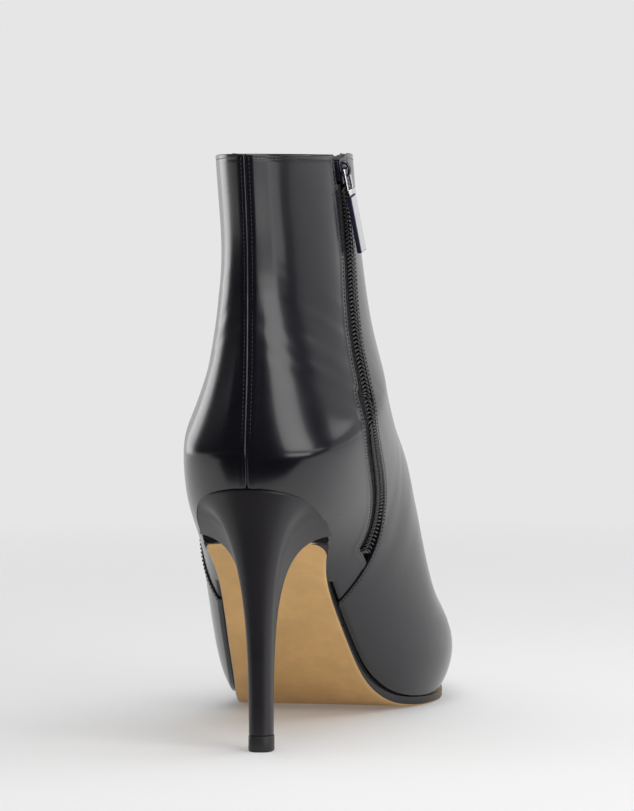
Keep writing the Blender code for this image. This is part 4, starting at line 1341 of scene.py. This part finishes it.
class BOOTIE_OT_sole(Operator):
    """Make the sole with its painted edge, and the sock inside"""

    bl_idname = "bootie.sole"
    bl_label = "Sole and sock"

    def execute(self, context):
        made = finishes()
        medial, lateral = outline(SOLE_START, sole_margin, SOLE_ROWS)
        shares = SOLE_SHARES
        plan = lateral[:, None] + (medial - lateral)[:, None] * shares[None, :, None]
        fade = 1 - ease((plan[..., 1] - plan[0, :, 1][None]) / BREAST_REACH)
        wanted = breast_line(plan[..., 0]) + BREAST_GAP
        plan[..., 1] += (wanted - plan[0, :, 1][None]) * fade
        y = plan[..., 1]
        top = sole_height(y) - SOLE_CLEARANCE
        floor = np.maximum(top - sole_thickness(y), 0)
        thick = top - floor
        width = np.linalg.norm(medial - lateral, axis=1)[:, None]
        inset = np.minimum(shares, 1 - shares)[None] * width
        edge_drop = rolled(inset, EDGE_ROUND, EDGE_ROUND)
        under = np.concatenate([plan, (floor + np.minimum(edge_drop, thick * 0.6))[..., None]], 2)
        upper = np.concatenate([plan, top[..., None]], 2)
        piece = finish_piece("sole", slab(under, upper), made["sole"],
                             replaces=("outsole",))
        self.cover_end(piece, made["heel"])
        self.paint_edge(context, plan, top, thick, made["edge"])
        self.fold_under(made["lining"])
        self.wrap_corners(made["heel"])
        self.lay_sock(made["lining"])
        return {"FINISHED"}

    def cover_end(self, piece, finish):
        """The sole's end at the breast, covered with the heel's leather."""
        piece.data.materials.append(finish)
        for face in piece.data.polygons:
            place = face.center
            edge = float(breast_line(np.array([place.x]))[0]) + BREAST_GAP
            faces_back = face.normal.y < -0.6 and face.normal.z > -0.3
            if place.y < edge + END_COVER or faces_back:
                face.material_index = 1

    def fold_under(self, finish):
        """The leather's lasting margin, folded under the insole all round."""
        rims = []
        for inset in MARGIN_INSETS:
            medial, lateral = outline(-SEAT_OVERHANG, lambda y: np.full(np.shape(y), -inset), 200)
            rims.append(np.concatenate([medial[::-1], lateral[1:]]))
        plan = np.stack(rims, 1)
        points = np.concatenate([plan, (sole_height(plan[..., 1]) - 0.00012)[..., None]], 2)
        shape = grid_shape(points)
        face_towards(shape, lambda point: Vector((0, 0, -1)))
        finish_piece("lasting_margin", shape, finish)

    def wrap_corners(self, finish):
        """The heel cover's small tongues on the sole at the two corners of the breast."""
        shapes = []
        medial, lateral = outline(SOLE_START, sole_margin, SOLE_ROWS)
        for rim, reach in ((medial, CORNER_REACH), (lateral, CORNER_REACH * 0.6)):
            side = np.sign(rim[0, 0])
            share = np.linspace(0, 1, 25)
            forward = SOLE_START + reach * np.clip(share * 2 - 1, 0, 1)
            along = np.interp(forward, rim[:, 1], rim[:, 0])
            outer = np.stack([along - side * reach * np.clip(1 - share * 2, 0, 1), forward], 1)
            bent = np.maximum(breast_line(outer[:, 0]) + BREAST_GAP - outer[0, 1], 0)
            outer[:, 1] += bent * (share <= 0.5)
            angle = share * math.pi / 2
            corner = outer[12]
            inner = np.stack([corner[0] - side * reach * (1 - np.sin(angle)),
                              corner[1] + reach * (1 - np.cos(angle))], 1)
            inner += (outer[-1] - inner[-1]) * share[:, None]
            steps = np.linspace(0, 1, 7)[None, :, None]
            plan = outer[:, None] * (1 - steps) + inner[:, None] * steps
            y = plan[..., 1]
            low = sole_height(y) - SOLE_CLEARANCE - sole_thickness(y)
            points = np.concatenate([plan, (low - COVER_LIFT)[..., None]], 2)
            back = points.copy()
            back[..., 2] += COVER_THICKNESS
            shape = grid_shape(np.concatenate([points, back[:, ::-1], points[:, :1]], 1))
            settle(shape)
            shapes.append(shape)
        finish_piece("breast_corners", join_shapes(shapes), finish)

    def paint_edge(self, context, plan, top, thick, finish):
        """A thin black strip over the sole's sides, wrapping a little on to the tread."""
        paint = context.scene.bootie_sizes.edge_paint

        def around(values):
            """The values at the sole's rim: lateral side, then medial side."""
            return np.concatenate([values[:, 0], values[::-1, -1][1:]])

        ring = around(plan)
        way = np.gradient(ring, axis=0)
        way /= np.maximum(np.linalg.norm(way, axis=1, keepdims=True), 1e-9)
        out = np.stack([-way[:, 1], way[:, 0]], 1)
        middle = ring.mean(axis=0)
        if ((ring - middle) * out).sum() < 0:
            out = -out
        high, deep = around(top), around(thick)
        low_side = high - deep + EDGE_ROUND
        rows = []
        for share, inset in EDGE_PROFILE:
            if share >= 0:
                z = low_side + (high - low_side) * share
            else:
                z = low_side + EDGE_ROUND * share
            place = ring + out * (paint + inset)
            rows.append(np.concatenate([place, z[:, None]], 1))
        strip_shape = grid_shape(np.stack(rows, 1))
        centre = Vector((middle[0], middle[1], 0))
        face_towards(strip_shape, lambda point: Vector((point - centre).xy.to_3d()))
        finish_piece("sole_edge", strip_shape, finish)

    def lay_sock(self, finish):
        inset = WALL + INSOLE_CLEARANCE
        toe = SHOE_LENGTH - SEAT_OVERHANG

        def margin(y):
            return -inset - INSOLE_TOE_INSET * ease(1 - (toe - y) / INSOLE_TOE_REACH)

        medial, lateral = outline(-SEAT_OVERHANG, margin, 150)
        shares = np.concatenate([[0, 0.01, 0.03], np.linspace(0.06, 0.94, 20), [0.97, 0.99, 1]])
        plan = lateral[:, None] + (medial - lateral)[:, None] * shares[None, :, None]
        crown = 0.0004 * np.sin(math.pi * shares)[None] * np.ones((len(plan), 1))
        soft = rolled(np.minimum(shares, 1 - shares), 0.02, 0.0006)
        z = sole_height(plan[..., 1]) + INSOLE_THICKNESS + crown - soft[None]
        upper = np.concatenate([plan, z[..., None]], 2)
        lower = np.concatenate([plan, (sole_height(plan[..., 1]) + 0.0001)[..., None]], 2)
        finish_piece("sock", slab(upper, lower), finish, replaces=("insole",))


class BOOTIE_OT_heel(Operator):
    """Make the covered heel and its top piece"""

    bl_idname = "bootie.heel"
    bl_label = "Heel"

    def execute(self, context):
        made = finishes()
        points = self.roll_rim(self.soften(heel_points(HEEL_COLUMNS, HEEL_ROWS)))
        shape = grid_shape(np.concatenate([points, points[:, :1]], 1))
        bmesh.ops.remove_doubles(shape, verts=shape.verts, dist=WELD)
        rims = [edge for edge in shape.edges if edge.is_boundary]
        low = [edge for edge in rims if edge.verts[0].co.z < 2 * PLATE_HEIGHT]
        high = [edge for edge in rims if edge.verts[0].co.z >= 2 * PLATE_HEIGHT]
        bmesh.ops.holes_fill(shape, edges=low, sides=0)
        bmesh.ops.triangle_fill(shape, edges=high, use_beauty=True)
        settle(shape)
        finish_piece("heel_cover", shape, made["heel"], replaces=("heel",))
        ring = top_piece_outline(np.linspace(0, 2 * math.pi, TIP_COLUMNS))
        rows = []
        for inset, z in TIP_PROFILE:
            scale = 1 - inset / PLATE_HALF_WIDTH
            rows.append(np.concatenate([ring * scale, np.full((TIP_COLUMNS, 1), z)], 1))
        tip = grid_shape(np.stack(rows))
        bmesh.ops.remove_doubles(tip, verts=tip.verts, dist=WELD)
        close_holes(tip)
        finish_piece("heel_tip", tip, made["rubber"], replaces=("top_piece",))
        return {"FINISHED"}

    def soften(self, points):
        """The heel's points with the flare's ridges eased, and its two ends as they were."""
        share = np.linspace(0, 1, len(points))[:, None, None]
        turn = np.linspace(0, 2 * math.pi, points.shape[1], endpoint=False)[None, :, None]
        weight = ease((share - 0.4) / 0.3) * (1 - share**8) * ease((np.cos(turn) + 0.3) / 0.5)
        for _ in range(SOFT_PASSES):
            for step in (0.5, -0.51):
                middle = (np.roll(points, 1, axis=1) + np.roll(points, -1, axis=1)) / 2
                points = points + step * weight * (middle - points)
        return points

    def roll_rim(self, points):
        """The heel's points with its covered upper edge turned in where it meets the upper."""
        steps = np.linalg.norm(np.diff(points[::-1], axis=0), axis=2)
        run = np.concatenate([np.zeros((1, points.shape[1])), np.cumsum(steps, axis=0)])
        kept = int(np.argmax(run.min(axis=1) > RIM_ROLL[-1]))
        turned = points[::-1]
        rim = points[-1]
        middle = rim[:, :2].mean(axis=0)
        inwards = middle - rim[:, :2]
        inwards /= np.linalg.norm(inwards, axis=1, keepdims=True)
        shown = 1 - ease((rim[:, 1] - BREAST_PLACE + 0.004) / 0.0035)
        rows = []
        for far in RIM_ROLL:
            row = np.stack([[np.interp(far, run[:, j], turned[:, j, i]) for i in range(3)]
                            for j in range(points.shape[1])])
            drop = rolled(far, RIM_ROLL[-1], RIM_DROP) * shown
            row[:, :2] += inwards * drop[:, None]
            rows.append(row)
        return np.concatenate([points[:-kept], np.stack(rows[::-1])])


class BOOTIE_OT_zip(Operator):
    """Make the zip's coil, its tape's weave, its slider and its leather pull"""

    bl_idname = "bootie.zip"
    bl_label = "Zip"

    def execute(self, context):
        made = finishes()
        sizes = context.scene.bootie_sizes
        path = zip_middle()
        slider = self.slider_frame(path)
        half = sizes.chain_width / 2

        def tooth(whole):
            ring = bmesh.ops.create_uvsphere(whole, u_segments=8, v_segments=6, radius=0.5)
            bmesh.ops.scale(whole, verts=ring["verts"], vec=(TOOTH_WIRE, half * 1.06, TOOTH_RISE))
            bmesh.ops.translate(whole, verts=ring["verts"], vec=(0, half * 0.47, 0))

        frames = []
        rows = row_frames(path, 1, sizes.tooth_pitch, TOOTH_LIFT, 0.0030, 0.0122)
        for flip in (Matrix.Identity(4), Matrix.Rotation(math.pi, 4, "X")):
            frames += [place @ flip @ Matrix.Rotation(TOOTH_SLANT, 4, "Z") for place in rows]
        chain = repeated(tooth, frames)
        finish_piece("zip_teeth", chain, made["coil"], replaces=("zip_chain",), sharp=0)
        self.weave_tape(path, made["tape"])
        self.make_stop(path, made["coil"])
        self.make_slider(slider, made)
        self.make_pull(made)
        return {"FINISHED"}

    def slider_frame(self, path):
        points = surface(path[:, 0], path[:, 1])
        run = travelled(points)
        at = run[-1] - SLIDER_BELOW_TOP
        section = np.interp(at, run, path[:, 0])
        turn = np.interp(at, run, path[:, 1])
        centre = Vector(surface(section, turn))
        out = Vector(normals(section, turn))
        near = [np.interp(at + step, run, path[:, i]) for step in (-0.002, 0.002) for i in (0, 1)]
        down = Vector(surface(near[0], near[1])) - Vector(surface(near[2], near[3]))
        down = (down - out * down.dot(out)).normalized()
        turned = Matrix((down.cross(out), down, out)).transposed().to_4x4()
        return Matrix.Translation(centre) @ turned

    def weave_tape(self, path, finish):
        columns = np.linspace(TAPE_REACH, -TAPE_REACH, 24)
        places = np.stack([beside(path, far) for far in columns], 1)
        below = places[0] + (places[0] - places[3]) * 1.5
        places = np.concatenate([below[None], places])
        places[..., 0] = np.minimum(places[..., 0], LAST_SECTION - 0.02)
        front, back = (upper_points(places, 1, np.full(places.shape[:2], -WALL - depth))
                       for depth in TAPE_DEPTHS)
        finish_piece("zip_tapes", slab(front, back), finish, replaces=("zip_tape",))

    def make_stop(self, path, finish):
        """The small stop that closes the coil at the slot's end."""
        place = row_frames(path, 1, 1.0, -0.0005, 0.0018)[0]
        shape = rounded(block((0.0018, 0.0062, 0.0012)), 0.0003)
        finish_piece("zip_stop", put(shape, place), finish)

    def make_slider(self, place, made):
        """The slider's body with its bridge in metal painted dark, and dark plates on its face and sides,
        both a painted dark reflection.
        """
        width, length, _ = SLIDER_SIZE
        middle = SLIDER_SIZE[2] / 2 - WALL
        body = block(SLIDER_SIZE)
        bmesh.ops.subdivide_edges(body, edges=body.edges, cuts=9, use_grid_fill=True)
        for vert in body.verts:
            down = vert.co.y / (length / 2)
            squeeze = 1 - 0.16 * ease((down + 0.1) / 1.1) - 0.10 * ease((-down - 0.62) / 0.38)
            vert.co.x *= squeeze
            vert.co.z += SLIDER_CROWN * (vert.co.z > 0) * math.cos(vert.co.x / (width / 2) * 1.4)
        bmesh.ops.translate(body, verts=body.verts, vec=(0, 0, middle))
        rounded(body, 0.00035, edges=sharp_edges(body))
        plates = [rounded(block(size, (0, shift, middle + rise)), 0.0003)
                  for size, shift, rise in PAINTED_REFLECTION_PLATES]
        # The plates are navy-black, a painted dark reflection
        finish_piece("slider_enamel", put(join_shapes(plates), place), made["enamel"],
                     replaces=("zip_slider",))
        arch = []
        base = middle + SLIDER_SIZE[2] / 2 - 0.0003
        for angle in np.linspace(0, math.pi, 25):
            rise = BRIDGE_RISE * math.sin(angle) ** 0.62
            arch.append((0, -BRIDGE_REACH * math.cos(angle), base + rise))
        bridge = tube(arch, BRIDGE_RADIUS, 14, widen=1.5)
        # The body and bridge take metal painted dark, a painted dark reflection
        finish_piece("slider", put(join_shapes([body, bridge]), place), made["gunmetal"],
                     replaces=("zip_slider",))

    def make_pull(self, made):
        """The wire link that hangs on the bridge, with its grip, and the leather tab in it."""
        joint = frame["joints"][0]
        pin = Vector(joint["pos_m"])
        across = Vector(joint["axis"]).normalized()
        low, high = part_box("pull_tab")
        down = (Vector(low) + Vector(high)) / 2 - pin
        down = (down - across * down.dot(across)).normalized()
        out = across.cross(down)
        place = Matrix.Translation(pin) @ Matrix((across, down, out)).transposed().to_4x4()
        half, length = LINK_HALF_WIDTH, LINK_LENGTH
        path = [(-half, length * share, 0) for share in (1, 0.66, 0.33)]
        for angle in np.linspace(0, math.pi, 13):
            path.append((-half * math.cos(angle), -LINK_BEND * math.sin(angle), 0))
        path += [(half, length * share, 0) for share in (0.33, 0.66, 1)]
        grip = rounded(block(GRIP_SIZE, (0, GRIP_PLACE, 0)), 0.0004, segments=4)
        link = put(join_shapes([tube(path, LINK_RADIUS, 12), grip]), place)
        finish_piece("pull_link_wire", link, made["metal"], "zip_pull", ("pull_link",))
        # The core's broad faces show past the tab's sides in light grey, a painted reflection
        for name, size, look, replaced in (("tab_leather", TAB_SIZE, "tab_side", ("pull_tab",)),
                                           ("tab_core", TAB_REFLECTION_CORE_SIZE, "tab_face", ())):
            shape = block(size, (0, TAB_PLACE, 0))
            long_edges = [edge for edge in shape.edges if edge.calc_length() > 0.01]
            bmesh.ops.subdivide_edges(shape, edges=long_edges, cuts=24, use_grid_fill=True)
            rounded(shape, 0.0004, segments=4, edges=sharp_edges(shape))
            bmesh.ops.transform(shape, matrix=place, verts=shape.verts)
            finish_piece(name, shape, made[look], "zip_pull", replaced)


class BOOTIE_OT_stage(Operator):
    """Set the pale floor, the soft studio lights and the camera"""

    bl_idname = "bootie.stage"
    bl_label = "Stage"

    def execute(self, context):
        self.make_floor(context)
        self.make_flag()
        self.make_lights(context)
        self.make_camera(context)
        return {"FINISHED"}

    def lay(self, name, shape, material):
        """Makes a piece of the stage."""
        mesh = bpy.data.meshes.new(name)
        shape.to_mesh(mesh)
        shape.free()
        mesh.shade_smooth()
        mesh.materials.append(material)
        sheet = bpy.data.objects.new(name, mesh)
        bpy.context.scene.collection.objects.link(sheet)
        return sheet

    def make_flag(self):
        """A black cloth on the floor that only shows in the polish, like the dark of a room."""
        shape = bmesh.new()
        cosine, sine = math.cos(VIEW_AZIMUTH), math.sin(VIEW_AZIMUTH)
        corners = [(x * cosine - y * sine, x * sine + y * cosine, FLAG_HEIGHT) for x, y in FLAG]
        shape.faces.new([shape.verts.new(corner) for corner in corners])
        cloth, _, shader = new_material("studio_flag")
        shader.inputs["Base Color"].default_value = (0.006, 0.006, 0.008, 1)
        shader.inputs["Roughness"].default_value = 1.0
        shader.inputs["Specular IOR Level"].default_value = 0.0
        flag = self.lay("studio_flag", shape, cloth)
        flag.visible_camera = False
        flag.visible_diffuse = False
        flag.visible_shadow = False

    def make_floor(self, context):
        shape = bmesh.new()
        bmesh.ops.create_grid(shape, x_segments=4, y_segments=60, size=1)
        for vert in shape.verts:
            run = (vert.co.y + 1) / 2 * PAPER_LENGTH
            past = run - PAPER_FLAT
            if past < 0:
                y, z = run - PAPER_FRONT, 0.0
            elif past < PAPER_BEND * math.pi / 2:
                angle = past / PAPER_BEND
                y = PAPER_FLAT - PAPER_FRONT + PAPER_BEND * math.sin(angle)
                z = PAPER_BEND * (1 - math.cos(angle))
            else:
                y = PAPER_FLAT - PAPER_FRONT + PAPER_BEND
                z = PAPER_BEND + past - PAPER_BEND * math.pi / 2
            vert.co = (vert.co.x * PAPER_HALF_WIDTH, y, z)
        bmesh.ops.rotate(shape, verts=shape.verts, cent=(0, 0, 0),
                         matrix=Matrix.Rotation(VIEW_AZIMUTH, 3, "Z"))
        self.lay("studio_floor", shape, self.floor_material(context.scene.bootie_colours.floor))

    def floor_material(self, colour):
        """Pale glowing paper that takes a faint shadow near the shoe."""
        made, tree, shader = new_material("studio_floor")
        place = coordinates(tree)
        far = node(tree, "ShaderNodeVectorMath", {0: place}, operation="LENGTH")
        lit = spread(tree, far.outputs["Value"], LIT_SHARE, 0.0, *LIT_REACH)
        glow = node(tree, "ShaderNodeMath", {0: 1.0, 1: lit}, operation="SUBTRACT")
        paper = node(tree, "ShaderNodeMath", {0: lit, 1: PAPER}, operation="MULTIPLY")
        tree.links.new(paper.outputs[0], shader.inputs["Base Color"])
        tree.links.new(glow.outputs[0], shader.inputs["Emission Strength"])
        shader.inputs["Emission Color"].default_value = (*colour, 1)
        shader.inputs["Roughness"].default_value = 0.9
        shader.inputs["Specular IOR Level"].default_value = 0.0
        return made

    def make_lights(self, context):
        """The area lights, and a pale room that only the camera sees."""
        world = context.scene.world or bpy.data.worlds.new("World")
        context.scene.world = world
        world.use_nodes = True
        sky = world.node_tree.nodes["Background"]
        sky.inputs["Color"].default_value = (*context.scene.bootie_colours.floor, 1)
        sky.inputs["Strength"].default_value = 1.0
        world.cycles_visibility.diffuse = False
        world.cycles_visibility.glossy = False
        aim = Vector(LIGHT_AIM)
        for name, azimuth, height, distance, size, glow in LIGHTS:
            lamp = bpy.data.lights.new(name, "AREA")
            lamp.shape = "RECTANGLE"
            lamp.size, lamp.size_y = size
            lamp.energy = glow * math.pi * size[0] * size[1]
            light = bpy.data.objects.new(name, lamp)
            around = VIEW_AZIMUTH + math.radians(azimuth)
            up = math.radians(height)
            away = Vector((math.sin(around) * math.cos(up), -math.cos(around) * math.cos(up),
                           math.sin(up)))
            light.location = aim + away * distance
            light.rotation_euler = away.to_track_quat("Z", "Y").to_euler()
            context.scene.collection.objects.link(light)

    def make_camera(self, context):
        view = bpy.data.cameras.new("photo_view")
        camera = bpy.data.objects.new("photo_view", view)
        azimuth, yaw = VIEW_AZIMUTH, VIEW_AZIMUTH + VIEW_YAW
        place = Vector((math.sin(azimuth) * VIEW_DISTANCE, -math.cos(azimuth) * VIEW_DISTANCE,
                        VIEW_HEIGHT))
        ahead = Vector((-math.sin(yaw) * math.cos(VIEW_PITCH), math.cos(yaw) * math.cos(VIEW_PITCH),
                        -math.sin(VIEW_PITCH)))
        right = ahead.cross(Vector((0, 0, 1))).normalized()
        up = right.cross(ahead)
        turned_right = right * math.cos(VIEW_ROLL) + up * math.sin(VIEW_ROLL)
        turned_up = up * math.cos(VIEW_ROLL) - right * math.sin(VIEW_ROLL)
        turned = Matrix((turned_right, turned_up, -ahead)).transposed().to_4x4()
        camera.matrix_world = Matrix.Translation(place) @ turned
        view.sensor_width = SENSOR
        view.lens = FOCAL_PIXELS * SENSOR / FRAME_HEIGHT
        view.clip_start = 0.05
        view.clip_end = 50
        context.scene.collection.objects.link(camera)
        context.scene.camera = camera
        context.scene.view_settings.view_transform = "Standard"


class BOOTIE_PT_panel(Panel):
    """The bootie's sizes, colours and steps"""

    bl_idname = "BOOTIE_PT_panel"
    bl_label = "Bootie"
    bl_space_type = "VIEW_3D"
    bl_region_type = "UI"
    bl_category = "Bootie"

    def draw(self, context):
        for group in (context.scene.bootie_sizes, context.scene.bootie_colours):
            column = self.layout.column()
            for name in group.__annotations__:
                column.prop(group, name)
        for step in STEPS:
            self.layout.operator(step.bl_idname)


STEPS = (BOOTIE_OT_upper, BOOTIE_OT_stitches, BOOTIE_OT_sole, BOOTIE_OT_heel, BOOTIE_OT_zip,
         BOOTIE_OT_stage)
CLASSES = (BootieSizes, BootieColours, *STEPS, BOOTIE_PT_panel)


def register():
    for item in CLASSES:
        bpy.utils.register_class(item)
    bpy.types.Scene.bootie_sizes = PointerProperty(type=BootieSizes)
    bpy.types.Scene.bootie_colours = PointerProperty(type=BootieColours)


def unregister():
    del bpy.types.Scene.bootie_colours
    del bpy.types.Scene.bootie_sizes
    for item in reversed(CLASSES):
        bpy.utils.unregister_class(item)


def main():
    register()
    for step in (bpy.ops.bootie.upper, bpy.ops.bootie.stitches, bpy.ops.bootie.sole,
                 bpy.ops.bootie.heel, bpy.ops.bootie.zip, bpy.ops.bootie.stage):
        step()


if __name__ == "__main__":
    main()
